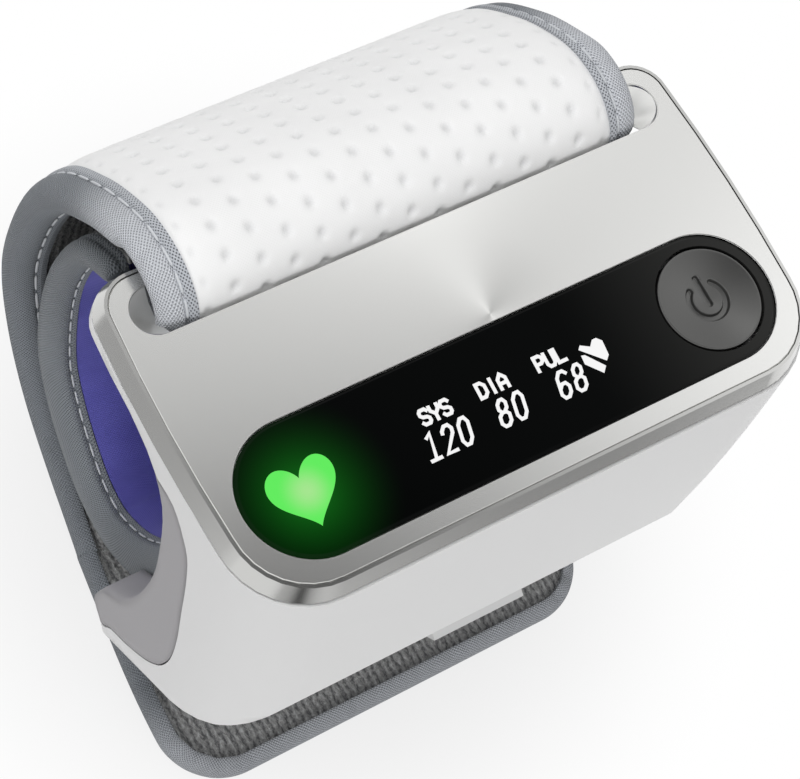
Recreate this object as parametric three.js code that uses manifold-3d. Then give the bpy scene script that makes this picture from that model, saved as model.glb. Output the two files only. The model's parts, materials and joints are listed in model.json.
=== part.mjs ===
// A wrist blood pressure monitor with its cuff closed into a loop.
// Millimetres. X runs along the display toward the power button, Y toward the strap slot, Z up.
// The origin is on the flap's flat underside, below the middle of the object's outline.
// Sizes below are measured from the display's centre (Y) and from the plate's top face (Z, down is less).

import * as THREE from 'three';
import { mergeVertices } from 'three/addons/utils/BufferGeometryUtils.js';
import Module from 'manifold-3d';

const wasm = await Module();
wasm.setup();

// Running gaps and shared walls
const gap = 0.3;
const overrun = 4;
const wall = 2;

// Top plate and side trim
const plateLength = 78.8;
const plateFront = 11.3;
const plateBack = 31;
const plateThickness = 1.2;
const plateFrontRadius = 9.5;
const plateBackRadius = 4.5;
const plateEndBow = 0.5;
const plateEndTaper = 0.35;
const plateChamfer = 0.15;
const plateReveal = 0.45;
const trimRim = 0.2;
const trimDrop = 2.8;
const trimFlare = 0.85;

// Display lens
const lensMargin = 2.8;
const lensWidth = 16.6;
const lensThickness = 1.5;
const lensBevel = 0.4;
const lensBevelDrop = 0.25;
const lensGap = 0.2;

// Power button and its switch
const buttonRadius = 6.6;
const buttonDish = 0.6;
const buttonHeight = 2.2;
const buttonFlange = 0.75;
const buttonFlangeThickness = 0.4;
const buttonTravel = 0.4;
const stemRadius = 1.6;
const stemLength = 0.6;
const plungerRadius = 1.2;
const plungerHeight = 1.2;
const switchSide = 6;
const switchHeight = 1.7;

// Display holder, display, light guide, board
const holderThickness = 1.55;
const holderLedge = 1.7;
const displayMargin = 1.25;
const displayDepth = 12.4;
const displayCentre = 2;
const displayThickness = 1.3;
const heartWidth = 8.8;
const heartHeight = 8.2;
const heartShift = 0.4;
const ledLength = 3.5;
const ledWidth = 2.8;
const ledHeight = 1;
const boardMargin = 5.35;
const boardFront = 9;
const boardBack = 5;
const boardThickness = 1.2;

// Strap slot and the bar behind it
const slotMargin = 2.7;
const slotFront = 22.5;
const slotBack = 28.8;

// Housing: front shell and wrist cover
const shellEndFlare = 0.95;
const shellEndTaper = 2.7;
const shellFrontBulge = 2.45;
const shellBulgeDepth = 40;
const shellDepth = 56.8;
const hookReach = 10.8;
const slabDepth = 5.2;
const deckLift = 1.5;
const endRounding = 1.6;
const lowCornerRadius = 5;
const toeRadius = 7;
const toeShare = 0.6866;
const seamGap = 0.2;
const cavityTop = 5.2;

// Strap fold over the bar and closure flap
const strapPlay = 6.4;
const strapShift = -0.3;
const strapThickness = 3;
const strapClearance = 0.5;
const bindingWidth = 4.6;
const bindingTipWidth = 3.3;
const bindingBulge = 1.8;
const faceThickness = 1.6;
const flapReach = 53.2;
const flapDrop = 12.2;
const flapTip = 15.1;
const flapTipRadius = 9;
const flapTipTaper = 0.6;
const flapLean = 1.1;
const flapSkew = 2.5;
const flapStart = 0.5;
const patchLength = 26;
const patchWidth = 50;
const patchThickness = 1;

// Cuff band, from the leg round the wrist to the strap
const cuffThickness = 7.7;
const cuffEndThickness = 2.6;
const cuffTopThickness = 3.4;
const cuffBack = 43.2;
const cuffBottom = 59.8;
const pipingWidth = 3;
const edgeRoundShare = 0.6;
const coverThickness = 1;
const curlerThickness = 0.7;
const liningThickness = 1;

// Pump, valve, sensor, battery and air line
const motorRadius = 5.4;
const headLength = 12;
const headWidth = 10.5;
const headHeight = 12;
const pumpShare = 0.5986;
const pumpSetback = 6.3;
const manifoldLength = 6;
const manifoldWidth = 5;
const valveRadius = 4.3;
const valveLength = 13.5;
const valveGap = 3.8;
const sensorSide = 7;
const sensorHeight = 4.4;
const batteryClearance = 0.4;
const batteryThickness = 5.6;
const batteryTop = 11.5;
const hoseRadius = 1.5;
const hoseShare = 0.2465;
const nippleRadius = 1.6;
const nippleFlange = 2.6;
const nippleFlangeThickness = 0.8;
const nippleX = 3;
const nippleShare = 0.6338;

// Charging socket, its lip and the cover's screws
const lipLength = 13.8;
const lipCentre = 1;
const lipThickness = 1.2;
const socketLength = 8;
const socketWidth = 3;
const socketHeight = 5.5;
const socketWall = 0.5;
const socketSetback = 9.6;
const screwRadius = 1;
const screwHeadRadius = 2;
const screwHeadHeight = 1.3;
const screwLength = 9;
const bossRadius = 2.6;
const screwInset = 8.35;
const screwDepths = [17, 35];

// Places worked out from the sizes above
const lensLength = plateLength - 2 * lensMargin;
const slotLength = plateLength - 2 * slotMargin;
const shellLength = plateLength + 2 * shellEndFlare;
const shellLowLength = shellLength - shellEndTaper;
const strapWidth = slotLength - strapPlay;
const boardLength = shellLength - 2 * (wall + boardMargin);
const screwX = shellLength / 2 - screwInset;
const toeDepth = shellDepth * toeShare;
const pumpDepth = shellDepth * pumpShare;
const nippleDepth = shellDepth * nippleShare;
const flapDepth = cuffBottom + flapDrop;
const hoseDrop = shellDepth * hoseShare;
const valveDepth = pumpDepth - motorRadius - valveRadius - valveGap;
const motorLength = screwX - bossRadius - headLength - 3 * gap;
const batteryEnd = screwX - bossRadius - batteryClearance;
const batteryLength = batteryEnd - nippleX - nippleFlange - batteryClearance;
const batteryHeight = toeDepth + toeRadius / 2 - batteryTop - batteryClearance;
const pillX = (lensLength - lensWidth) / 2;
const displayLength = 2 * (pillX - buttonRadius - buttonFlange - displayMargin - displayCentre);
const slotX = (slotLength - (slotBack - slotFront)) / 2;
const barBack = plateBack + trimFlare;
const barMiddle = (slotBack + barBack) / 2;
const slotLine = slotFront + strapClearance;
const crest = strapThickness + strapClearance;
const originY = (flapReach - flapTip) / 2;

// Materials
const finish = {
  plate: new THREE.MeshStandardMaterial({ color: 0xc9c9c9, metalness: 0.9, roughness: 0.35 }),
  trim: new THREE.MeshStandardMaterial({ color: 0x9c9c9c, metalness: 0.8, roughness: 0.45 }),
  white: new THREE.MeshStandardMaterial({ color: 0xf1f1f0, metalness: 0, roughness: 0.3 }),
  grey: new THREE.MeshStandardMaterial({ color: 0x9c9a9d, metalness: 0, roughness: 0.5 }),
  lens: new THREE.MeshStandardMaterial({ color: 0x08090a, metalness: 0, roughness: 0.1 }),
  button: new THREE.MeshStandardMaterial({ color: 0x3a3b3d, metalness: 0.2, roughness: 0.45 }),
  light: new THREE.MeshStandardMaterial({ color: 0x63f070, metalness: 0, roughness: 0.3 }),
  board: new THREE.MeshStandardMaterial({ color: 0x1f6b3a, metalness: 0, roughness: 0.6 }),
  metal: new THREE.MeshStandardMaterial({ color: 0xb8babd, metalness: 1, roughness: 0.3 }),
  dark: new THREE.MeshStandardMaterial({ color: 0x2a2b2e, metalness: 0, roughness: 0.6 }),
  hose: new THREE.MeshStandardMaterial({ color: 0xd9dadb, metalness: 0, roughness: 0.5 }),
  cloth: new THREE.MeshStandardMaterial({ color: 0xf3f3f3, metalness: 0, roughness: 0.8 }),
  knit: new THREE.MeshStandardMaterial({ color: 0x7e828a, metalness: 0, roughness: 0.95 }),
  loop: new THREE.MeshStandardMaterial({ color: 0x55575b, metalness: 0, roughness: 1 }),
  lining: new THREE.MeshStandardMaterial({ color: 0x4a47a0, metalness: 0, roughness: 0.9 }),
};

const root = new THREE.Group();
root.position.set(0, -originY, flapDepth);

// Adds one piece to the object.
function add(name, geometry, material) {
  const mesh = new THREE.Mesh(geometry, material);
  mesh.name = name;
  root.add(mesh);
  return mesh;
}

// Turns a closed geometry into a solid that can be joined and cut.
function solid(geometry) {
  const bare = geometry.clone();
  bare.deleteAttribute('normal');
  bare.deleteAttribute('uv');
  const merged = mergeVertices(bare, 1e-4);
  return new wasm.Manifold(new wasm.Mesh({
    numProp: 3,
    vertProperties: new Float32Array(merged.attributes.position.array),
    triVerts: new Uint32Array(merged.index.array),
  }));
}

// Turns a solid back into a geometry.
function shape(body) {
  const mesh = body.getMesh();
  const geometry = new THREE.BufferGeometry();
  geometry.setAttribute('position', new THREE.BufferAttribute(mesh.vertProperties, mesh.numProp));
  geometry.setIndex(new THREE.BufferAttribute(mesh.triVerts, 1));
  geometry.computeVertexNormals();
  return geometry;
}

// Joins rings of equal count into one closed body. Each ring has its 3-D points and the same
// points drawn flat, from which the two end faces are cut.
function loft(rings) {
  const count = rings[0].points.length;
  const positions = rings.flatMap((ring) => ring.points.flatMap((p) => [p.x, p.y, p.z]));
  const index = [];
  for (let r = 0; r + 1 < rings.length; r += 1) {
    for (let i = 0; i < count; i += 1) {
      const a = r * count + i;
      const b = r * count + ((i + 1) % count);
      index.push(a, b, b + count, a, b + count, a + count);
    }
  }
  const last = (rings.length - 1) * count;
  for (const [a, b, c] of endFace(rings[0].flat)) index.push(a, c, b);
  for (const [a, b, c] of endFace(rings.at(-1).flat)) index.push(last + a, last + b, last + c);
  const geometry = new THREE.BufferGeometry();
  geometry.setAttribute('position', new THREE.Float32BufferAttribute(positions, 3));
  geometry.setIndex(index);
  return faceOutward(geometry);
}

// The triangles of an end face, wound the way that its outline runs.
function endFace(flat) {
  const winding = Math.sign(THREE.ShapeUtils.area(flat));
  return THREE.ShapeUtils.triangulateShape(flat, []).map(([a, b, c]) => {
    const same = Math.sign(THREE.ShapeUtils.area([flat[a], flat[b], flat[c]])) === winding;
    return same ? [a, b, c] : [a, c, b];
  });
}

// Turns all triangles round if the body is inside out.
function faceOutward(geometry) {
  const at = geometry.attributes.position;
  const index = geometry.index.array;
  const [a, b, c] = [new THREE.Vector3(), new THREE.Vector3(), new THREE.Vector3()];
  let volume = 0;
  for (let i = 0; i < index.length; i += 3) {
    a.fromBufferAttribute(at, index[i]);
    b.fromBufferAttribute(at, index[i + 1]);
    c.fromBufferAttribute(at, index[i + 2]);
    volume += a.dot(b.cross(c));
  }
  if (volume < 0) {
    for (let i = 0; i < index.length; i += 3) {
      [index[i], index[i + 1]] = [index[i + 1], index[i]];
    }
  }
  geometry.computeVertexNormals();
  return geometry;
}

// Straight walls in Z from an outline in X and Y.
function upright(outline, bottom, top, curveSegments = 10) {
  const options = { depth: top - bottom, bevelEnabled: false, curveSegments };
  return new THREE.ExtrudeGeometry(outline, options).translate(0, 0, bottom);
}

// Straight walls along X from an outline in Y and Z, with rounded ends if asked for.
function crosswise(outline, halfLength, rounding = 0) {
  const geometry = new THREE.ExtrudeGeometry(outline, {
    depth: 2 * (halfLength - rounding),
    bevelEnabled: rounding > 0,
    bevelThickness: rounding,
    bevelSize: rounding,
    bevelOffset: -rounding,
    bevelSegments: 3,
    curveSegments: 8,
  });
  geometry.translate(0, 0, rounding - halfLength);
  const turn = new THREE.Matrix4().makeBasis(
    new THREE.Vector3(0, 1, 0),
    new THREE.Vector3(0, 0, 1),
    new THREE.Vector3(1, 0, 0),
  );
  return geometry.applyMatrix4(turn);
}

// A box by its limits.
function box(x0, x1, y0, y1, z0, z1) {
  const geometry = new THREE.BoxGeometry(x1 - x0, y1 - y0, z1 - z0);
  return geometry.translate((x0 + x1) / 2, (y0 + y1) / 2, (z0 + z1) / 2);
}

// A round bar along Y, X or Z, from one end to the other.
function bar(axis, radius, from, to, centre, sides = 28) {
  const geometry = new THREE.CylinderGeometry(radius, radius, to - from, sides);
  if (axis === 'x') geometry.rotateZ(-Math.PI / 2);
  if (axis === 'z') geometry.rotateX(Math.PI / 2);
  const middle = (from + to) / 2;
  const place = {
    x: [middle, centre[0], centre[1]],
    y: [centre[0], middle, centre[1]],
    z: [centre[0], centre[1], middle],
  }[axis];
  return geometry.translate(...place);
}

// The pill outline of the lens and of the slot.
function pill(halfX, y0, y1, grow = 0) {
  const radius = (y1 - y0) / 2 + grow;
  const y = (y0 + y1) / 2;
  const outline = new THREE.Shape();
  outline.absarc(halfX, y, radius, -Math.PI / 2, Math.PI / 2, false);
  outline.absarc(-halfX, y, radius, Math.PI / 2, 1.5 * Math.PI, false);
  outline.closePath();
  return outline;
}

// The outline seen from above: straight front and back, round corners, slightly bowed ends.
function planPoints({ half, front, back, frontRadius, backRadius }) {
  const points = [];
  const steps = 8;
  const arc = (x, y, radius, from) => {
    for (let i = 0; i <= steps; i += 1) {
      const angle = from + (i / steps) * (Math.PI / 2);
      points.push(new THREE.Vector2(x + radius * Math.cos(angle), y + radius * Math.sin(angle)));
    }
  };
  const bow = (x0, y0, x1, y1, side) => {
    for (let i = 1; i < steps / 2; i += 1) {
      const t = i / (steps / 2);
      const out = 4 * t * (1 - t) * plateEndBow * side;
      points.push(new THREE.Vector2(x0 + (x1 - x0) * t + out, y0 + (y1 - y0) * t));
    }
  };
  const rear = half - plateEndTaper;
  arc(half - frontRadius, frontRadius - front, frontRadius, -Math.PI / 2);
  bow(half, frontRadius - front, rear, back - backRadius, 1);
  arc(rear - backRadius, back - backRadius, backRadius, 0);
  arc(backRadius - rear, back - backRadius, backRadius, Math.PI / 2);
  bow(-rear, back - backRadius, -half, frontRadius - front, -1);
  arc(frontRadius - half, frontRadius - front, frontRadius, Math.PI);
  return points;
}

// The plate's outline, grown outward by a distance.
function plateOutline(grow) {
  return {
    half: plateLength / 2 + grow,
    front: plateFront + grow,
    back: plateBack + grow,
    frontRadius: plateFrontRadius + grow,
    backRadius: plateBackRadius + grow,
  };
}

function planRing(outline, z) {
  const flat = planPoints(outline);
  return { flat, points: flat.map((p) => new THREE.Vector3(p.x, p.y, z)) };
}

// A smooth line through a few places, cut into even steps.
function through(places, steps) {
  return new THREE.SplineCurve(places.map(([a, b]) => new THREE.Vector2(a, b))).getSpacedPoints(steps);
}

// Moves a line sideways, to the left of its direction of travel.
function beside(line, distance) {
  return line.map((p, i) => {
    const along = line[Math.min(i + 1, line.length - 1)].clone().sub(line[Math.max(i - 1, 0)]);
    along.normalize();
    return new THREE.Vector2(p.x - along.y * distance, p.y + along.x * distance);
  });
}

// A sheet that follows a line in Y and Z: x across, s along from 0 to 1, n to the left of travel.
class Sheet {
  constructor(line) {
    this.line = line;
    this.normals = line.map((p, i) => {
      const along = line[Math.min(i + 1, line.length - 1)].clone().sub(line[Math.max(i - 1, 0)]);
      along.normalize();
      return new THREE.Vector2(-along.y, along.x);
    });
    this.lengths = [0];
    for (let i = 1; i < line.length; i += 1) {
      this.lengths.push(this.lengths[i - 1] + line[i].distanceTo(line[i - 1]));
    }
    this.length = this.lengths.at(-1);
  }

  // The point at distance along the sheet, shifted sideways by x and off the sheet by n.
  at(x, along, n) {
    const reach = Math.min(Math.max(along, 0), this.length);
    let i = 1;
    while (i < this.lengths.length - 1 && this.lengths[i] < reach) i += 1;
    const t = (reach - this.lengths[i - 1]) / (this.lengths[i] - this.lengths[i - 1]);
    const p = this.line[i - 1].clone().lerp(this.line[i], t);
    const normal = this.normals[i - 1].clone().lerp(this.normals[i], t).normalize();
    return new THREE.Vector3(x, p.x + normal.x * n, p.y + normal.y * n);
  }

  // The distance along the sheet nearest to a place in Y and Z.
  nearest(y, z) {
    let best = 0;
    this.line.forEach((p, i) => {
      if (Math.hypot(p.x - y, p.y - z) < Math.hypot(this.line[best].x - y, this.line[best].y - z)) best = i;
    });
    return this.lengths[best];
  }
}

// A flat layer of a sheet, between two depths and two side lines, from one distance to another.
function layer(sheet, from, to, steps, sides, depths) {
  const rings = [];
  for (let i = 0; i <= steps; i += 1) {
    const along = from + (to - from) * (i / steps);
    const [left, right] = sides(along);
    const [outer, inner] = depths(along);
    const flat = [[left, outer], [right, outer], [right, inner], [left, inner]];
    rings.push({
      flat: flat.map(([x, n]) => new THREE.Vector2(x, n)),
      points: flat.map(([x, n]) => sheet.at(x, along, n)),
    });
  }
  return loft(rings);
}

// A rounded edge strip: a section of width and thickness carried along places on a sheet.
// Each place has x, its distance along, and the direction across the strip.
function edgeStrip(sheet, places, width, thickness, lift) {
  const rings = places.map(({ x, along, across }) => {
    const thick = thickness(along);
    const high = lift(along);
    const wide = width(along);
    const round = wide * edgeRoundShare;
    const flat = [];
    const corners = 5;
    for (let i = 0; i <= corners; i += 1) {
      const angle = Math.PI / 2 + (i / corners) * Math.PI;
      const n = thick / 2 + (thick / 2) * Math.sin(angle);
      flat.push(new THREE.Vector2(round + round * Math.cos(angle), n));
    }
    flat.push(new THREE.Vector2(wide, 0), new THREE.Vector2(wide, thick));
    return {
      flat,
      points: flat.map((p) => sheet.at(x + across[0] * p.x, along + across[1] * p.x, high - p.y)),
    };
  });
  return loft(rings);
}

// Top plate, trim and lens
const slotCut = upright(pill(slotX, slotFront, slotBack), -shellDepth, overrun, 12);

function topPlate() {
  const outline = planRing(plateOutline(-plateReveal), -plateThickness);
  const edge = planRing(plateOutline(-plateReveal), -plateChamfer);
  const face = planRing(plateOutline(-plateReveal - plateChamfer), 0);
  const window = upright(pill(pillX, -lensWidth / 2, lensWidth / 2, lensGap), -overrun, overrun, 20);
  const body = solid(loft([outline, edge, face])).subtract(solid(window)).subtract(solid(slotCut));
  return shape(body);
}

function sideTrim() {
  const foot = planRing(plateOutline(trimFlare), -trimDrop);
  const brim = planRing(plateOutline(0), 0);
  const hollow = loft([
    planRing(plateOutline(-trimRim), -trimDrop - overrun),
    planRing(plateOutline(-trimRim), overrun),
  ]);
  return shape(solid(loft([foot, brim])).subtract(solid(hollow)));
}

function displayLens() {
  const ring = (inset, z) => {
    const flat = pill(pillX, -lensWidth / 2, lensWidth / 2, -inset).getPoints(20);
    if (flat[0].distanceTo(flat.at(-1)) < 1e-6) flat.pop();
    return { flat, points: flat.map((p) => new THREE.Vector3(p.x, p.y, z)) };
  };
  const body = loft([ring(0, -lensThickness), ring(0, -lensBevelDrop), ring(lensBevel, 0)]);
  const bore = bar('z', buttonRadius + gap, -overrun, overrun, [pillX, 0], 48);
  return shape(solid(body).subtract(solid(bore)));
}

add('top_plate', topPlate(), finish.plate);
add('side_trim', sideTrim(), finish.trim);
add('display_lens', displayLens(), finish.lens);

// Power button, switch plunger and switch
const buttonBottom = -buttonHeight;
const flangeTop = -lensThickness - gap;
const stemBottom = buttonBottom - stemLength;
const plungerTop = stemBottom - gap;
const holderTop = -lensThickness - 0.8 * gap;
const holderBottom = holderTop - holderThickness;
const boardTop = -cavityTop - gap;
const boardBottom = boardTop - boardThickness;
const switchBottom = boardTop;
const switchTop = switchBottom + switchHeight;

function powerButton() {
  const profile = [[0, -buttonDish]];
  const steps = 6;
  for (let i = 1; i <= steps; i += 1) {
    const t = i / steps;
    profile.push([t * (buttonRadius - plateChamfer), -buttonDish * (1 - t * t)]);
  }
  profile.push([buttonRadius, -plateChamfer]);
  profile.push([buttonRadius, flangeTop]);
  profile.push([buttonRadius + buttonFlange, flangeTop]);
  profile.push([buttonRadius + buttonFlange, flangeTop - buttonFlangeThickness]);
  profile.push([stemRadius, flangeTop - buttonFlangeThickness]);
  profile.push([stemRadius, stemBottom]);
  profile.push([0, stemBottom]);
  const points = profile.reverse().map(([r, z]) => new THREE.Vector2(r, z));
  const geometry = new THREE.LatheGeometry(points, 48).rotateX(Math.PI / 2).translate(pillX, 0, 0);
  return shape(solid(geometry));
}

function tactSwitch() {
  const half = switchSide / 2;
  const body = box(pillX - half, pillX + half, -half, half, switchBottom, switchTop);
  const floor = plungerTop - plungerHeight - buttonTravel - gap;
  const bore = bar('z', plungerRadius + gap, floor, overrun, [pillX, 0]);
  return shape(solid(body).subtract(solid(bore)));
}

add('power_button', powerButton(), finish.button);
const plunger = bar('z', plungerRadius, plungerTop - plungerHeight, plungerTop, [pillX, 0]);
add('switch_plunger', plunger, finish.dark);
add('tact_switch', tactSwitch(), finish.metal);

// Display holder and what it carries
function heart(grow) {
  const w = heartWidth / 2 + grow;
  const low = -heartHeight / 2 - grow;
  const high = heartHeight / 2 + grow;
  const dip = high - heartHeight / 4;
  const outline = new THREE.Shape();
  outline.moveTo(0, low);
  outline.bezierCurveTo(-w / 2, low / 3, -w, 0, -w, high / 2);
  outline.bezierCurveTo(-w, high, -w / 3, high * 1.2, 0, dip);
  outline.bezierCurveTo(w / 3, high * 1.2, w, high, w, high / 2);
  outline.bezierCurveTo(w, 0, w / 2, low / 3, 0, low);
  return outline;
}

function displayHolder() {
  const rim = pill(pillX, -lensWidth / 2, lensWidth / 2, -gap);
  const displayHole = box(
    displayCentre - displayLength / 2 - gap,
    displayCentre + displayLength / 2 + gap,
    -displayDepth / 2 - gap,
    displayDepth / 2 + gap,
    holderBottom - overrun,
    overrun,
  );
  const buttonHole = bar('z', buttonRadius + buttonFlange + gap, holderBottom - overrun, overrun, [pillX, 0], 40);
  const heartHole = upright(heart(gap), holderBottom - overrun, overrun, 8);
  heartHole.translate(-pillX - heartShift, -heartShift, 0);
  return shape(solid(upright(rim, holderBottom, holderTop, 20))
    .subtract(solid(displayHole))
    .subtract(solid(buttonHole))
    .subtract(solid(heartHole)));
}

add('display_holder', displayHolder(), finish.dark);
add('display_module', box(
  displayCentre - displayLength / 2,
  displayCentre + displayLength / 2,
  -displayDepth / 2,
  displayDepth / 2,
  holderTop - displayThickness,
  holderTop,
), finish.lens);
const guide = upright(heart(0), holderBottom, holderTop, 8).translate(-pillX - heartShift, -heartShift, 0);
add('heart_light_guide', guide, finish.light);
add('heart_led', box(
  -pillX - ledLength / 2,
  -pillX + ledLength / 2,
  -ledWidth / 2,
  ledWidth / 2,
  boardTop,
  boardTop + ledHeight,
), finish.light);
add('main_board', box(
  -boardLength / 2, boardLength / 2, -boardFront, boardBack, boardBottom, boardTop,
), finish.board);

// Lines of the housing in Y and Z. Shares are of the hook's reach and the shell's depth.
const place = ([y, z]) => [y * hookReach, -z * shellDepth];
const archShares = [
  [1.653, 0.109], [1.193, 0.134], [0.879, 0.181], [0.685, 0.246], [0.519, 0.369],
  [0.445, 0.476], [0.454, 0.564], [0.519, 0.669], [0.657, 0.774], [0.75, 0.822],
  [0.885, 0.874],
];
const seamShares = [
  [1.204, 0.148], [0.926, 0.139], [0.546, 0.139], [0.185, 0.202], [0.019, 0.29],
  [-0.139, 0.44], [-0.25, 0.549], [-0.296, 0.651], [-0.241, 0.732], [-0.102, 0.79],
  [0.083, 0.835], [0.333, 0.88], [0.676, 0.935], [1.148, 0.985],
];
const innerFaceShares = [
  [0.555, 0.093], [0.527, 0.153], [0.435, 0.219], [0.269, 0.294], [0.101, 0.414],
  [-0.028, 0.564], [-0.014, 0.674], [0, 0.762],
];

// The sole falls from the toe to the hook at this angle.
function soleSlope() {
  const front = plateFront + trimFlare + shellFrontBulge;
  return Math.atan2(shellDepth - toeDepth - toeRadius * 0.8, hookReach * 0.7 + front - toeRadius * 0.4);
}

// How far below the plate's top the sole's line passes at the display's centre.
function soleLow(slope) {
  return shellDepth - hookReach * 0.7 * slope;
}

// The whole housing, before it is split into its two halves.
function sideProfile() {
  const outline = new THREE.Shape();
  const front = plateFront + trimFlare + shellFrontBulge;
  const toe = new THREE.Vector2(toeRadius - front, -toeDepth);
  const slope = soleSlope();
  outline.moveTo(barBack + overrun, overrun);
  outline.lineTo(-front - overrun, overrun);
  outline.lineTo(-front - overrun, -toeDepth);
  outline.lineTo(-front, -toeDepth);
  outline.absarc(toe.x, toe.y, toeRadius, Math.PI, 1.5 * Math.PI - slope, false);
  outline.lineTo(hookReach * 0.7, -shellDepth);
  outline.quadraticCurveTo(hookReach * 1.08, -shellDepth, hookReach * 0.94, -shellDepth * 0.9);
  through(archShares.map(place).reverse(), 22).slice(1).forEach((p) => outline.lineTo(p.x, p.y));
  outline.lineTo(slotBack, -slabDepth);
  outline.quadraticCurveTo(barBack, -slabDepth, barBack + overrun / 8, -slabDepth / 2);
  outline.lineTo(barBack + overrun, overrun);
  return outline;
}

// The housing's outline from above at a depth below the plate's top.
function shellOutline(depth, inset = 0) {
  const t = Math.min(depth / shellBulgeDepth, 1);
  const bulge = shellFrontBulge * Math.sin((t * Math.PI) / 2);
  const taper = (shellLength - shellLowLength) / 2 * (depth / shellDepth);
  return {
    half: shellLength / 2 - taper - inset,
    front: plateFront + trimFlare + bulge - inset,
    back: barBack - inset,
    frontRadius: plateFrontRadius + trimFlare - inset,
    backRadius: plateBackRadius + trimFlare - inset,
  };
}

function shellPlan(inset, top) {
  const steps = 8;
  const rings = [];
  for (let i = 0; i <= steps; i += 1) {
    const depth = top + ((shellDepth + overrun - top) * i) / steps;
    rings.push(planRing(shellOutline(depth, inset), -depth));
  }
  return loft(rings);
}

// The housing's outline from the front, with round corners below. It leans with the sole's slope.
function frontOutline() {
  const half = shellLength / 2;
  const outline = new THREE.Shape();
  outline.moveTo(-half, 2 * shellDepth);
  outline.lineTo(-half, lowCornerRadius);
  outline.absarc(lowCornerRadius - half, lowCornerRadius, lowCornerRadius, Math.PI, 1.5 * Math.PI, false);
  outline.absarc(half - lowCornerRadius, lowCornerRadius, lowCornerRadius, -Math.PI / 2, 0, false);
  outline.lineTo(half, 2 * shellDepth);
  outline.closePath();
  const reach = barBack + overrun;
  const options = { depth: 2 * reach, bevelEnabled: false, curveSegments: 5 };
  const geometry = new THREE.ExtrudeGeometry(outline, options).translate(0, 0, -reach);
  const slope = Math.tan(soleSlope());
  const lean = new THREE.Matrix4().makeBasis(
    new THREE.Vector3(1, 0, 0),
    new THREE.Vector3(0, 0, 1),
    new THREE.Vector3(0, -1, slope),
  );
  return geometry.applyMatrix4(lean).translate(0, 0, -soleLow(slope));
}

const shellTop = trimDrop + gap;
const housing = solid(shellPlan(0, shellTop))
  .intersect(solid(crosswise(sideProfile(), shellLength / 2, endRounding)))
  .intersect(solid(frontOutline()));

// The side of the seam that belongs to the wrist cover, grown by a distance.
function coverSide(grow) {
  const seam = beside(through(seamShares.map(place), 48), -grow);
  const outline = new THREE.Shape();
  outline.moveTo(seam[0].x, seam[0].y);
  seam.slice(1).forEach((p) => outline.lineTo(p.x, p.y));
  outline.lineTo(hookReach * 2, -shellDepth);
  outline.lineTo(hookReach * 2, seam[0].y - grow);
  outline.closePath();
  return solid(crosswise(outline, shellLength));
}

// The room inside the housing, shared by both halves.
function cavity() {
  const front = plateFront + trimFlare + shellFrontBulge + overrun;
  const inner = through(innerFaceShares.map(place), 24);
  const outline = new THREE.Shape();
  outline.moveTo(-front, 0);
  outline.lineTo(-front, -toeDepth - toeRadius / 2);
  outline.lineTo(-toeRadius, -toeDepth - toeRadius / 2);
  inner.reverse().forEach((p) => outline.lineTo(p.x, p.y));
  outline.lineTo(inner[inner.length - 1].x, 0);
  outline.closePath();
  return solid(crosswise(outline, shellLength)).intersect(solid(shellPlan(wall, cavityTop)));
}

// Cuff band: its outer face, from the leg under the wrist, up the back and forward under the bar.
const cuffShares = [
  [0.083, 0.368], [0.051, 0.569], [0.079, 0.736], [0.197, 0.891], [0.37, 0.987], [0.544, 1],
  [0.706, 0.953], [0.868, 0.857], [0.982, 0.73], [1.03, 0.552], [1.025, 0.385], [0.962, 0.227], [0.82, 0.135],
];
const cuffPlaces = cuffShares.map(([y, z]) => [y * cuffBack, -z * cuffBottom]);
const cuff = new Sheet(through(cuffPlaces, 96));
const cuffHalf = strapWidth / 2 + strapShift;

// The cuff is thin at both ends and full in between.
function cuffDepth(along) {
  const rise = THREE.MathUtils.smoothstep(along, 0, cuff.length * 0.16);
  const fall = THREE.MathUtils.smoothstep(along, cuff.length * 0.5, cuff.length * 0.98);
  const low = cuffEndThickness + (cuffThickness - cuffEndThickness) * rise;
  return low + (cuffTopThickness - low) * fall;
}

// The room that the cuff needs in the leg, open toward the wrist.
function cuffSeat() {
  const side = cuffHalf + gap;
  return solid(layer(cuff, 0, cuff.length / 2, 30, () => [-side, side], () => [-gap, cuffThickness + overrun]))
    .add(solid(layer(cuff, 0, cuff.length / 20, 3, () => [-side, side], () => [-gap, cuffEndThickness + overrun])));
}

const seat = cuffSeat();
const room = cavity();

// Screws through the wrist cover into bosses of the front shell
const screwPlaces = screwDepths.flatMap((depth) => [-screwX, screwX].map((x) => [x, -depth]));
const archLine = through(archShares.map(place), 96);
const faceAt = (line, z) => line.reduce((best, p) => (Math.abs(p.y - z) < Math.abs(best.y - z) ? p : best)).x;

function headTop(z) {
  return Math.min(faceAt(archLine, z), faceAt(cuff.line.slice(0, 40), z) - gap) - gap;
}

function screw(x, z) {
  const top = headTop(z);
  const profile = [
    [0, top - screwHeadHeight - screwLength], [screwRadius, top - screwHeadHeight - screwLength],
    [screwRadius, top - screwHeadHeight], [screwHeadRadius, top - screwHeadHeight],
    [screwHeadRadius, top], [0, top],
  ].map(([r, y]) => new THREE.Vector2(r, y));
  return shape(solid(new THREE.LatheGeometry(profile, 20))).translate(x, 0, z);
}

function screwHoles(x, z) {
  const top = headTop(z);
  const bottom = top - screwHeadHeight - screwLength;
  return solid(bar('y', screwRadius + gap, bottom - gap, top + overrun, [x, z], 20))
    .add(solid(bar('y', screwHeadRadius + gap, top - screwHeadHeight - gap, top + overrun, [x, z], 20)));
}

function boss(x, z) {
  const end = faceAt(through(seamShares.map(place), 96).slice(20, 70), z) - gap - seamGap;
  return solid(bar('y', bossRadius, -plateFront, end, [x, z], 24));
}

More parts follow.
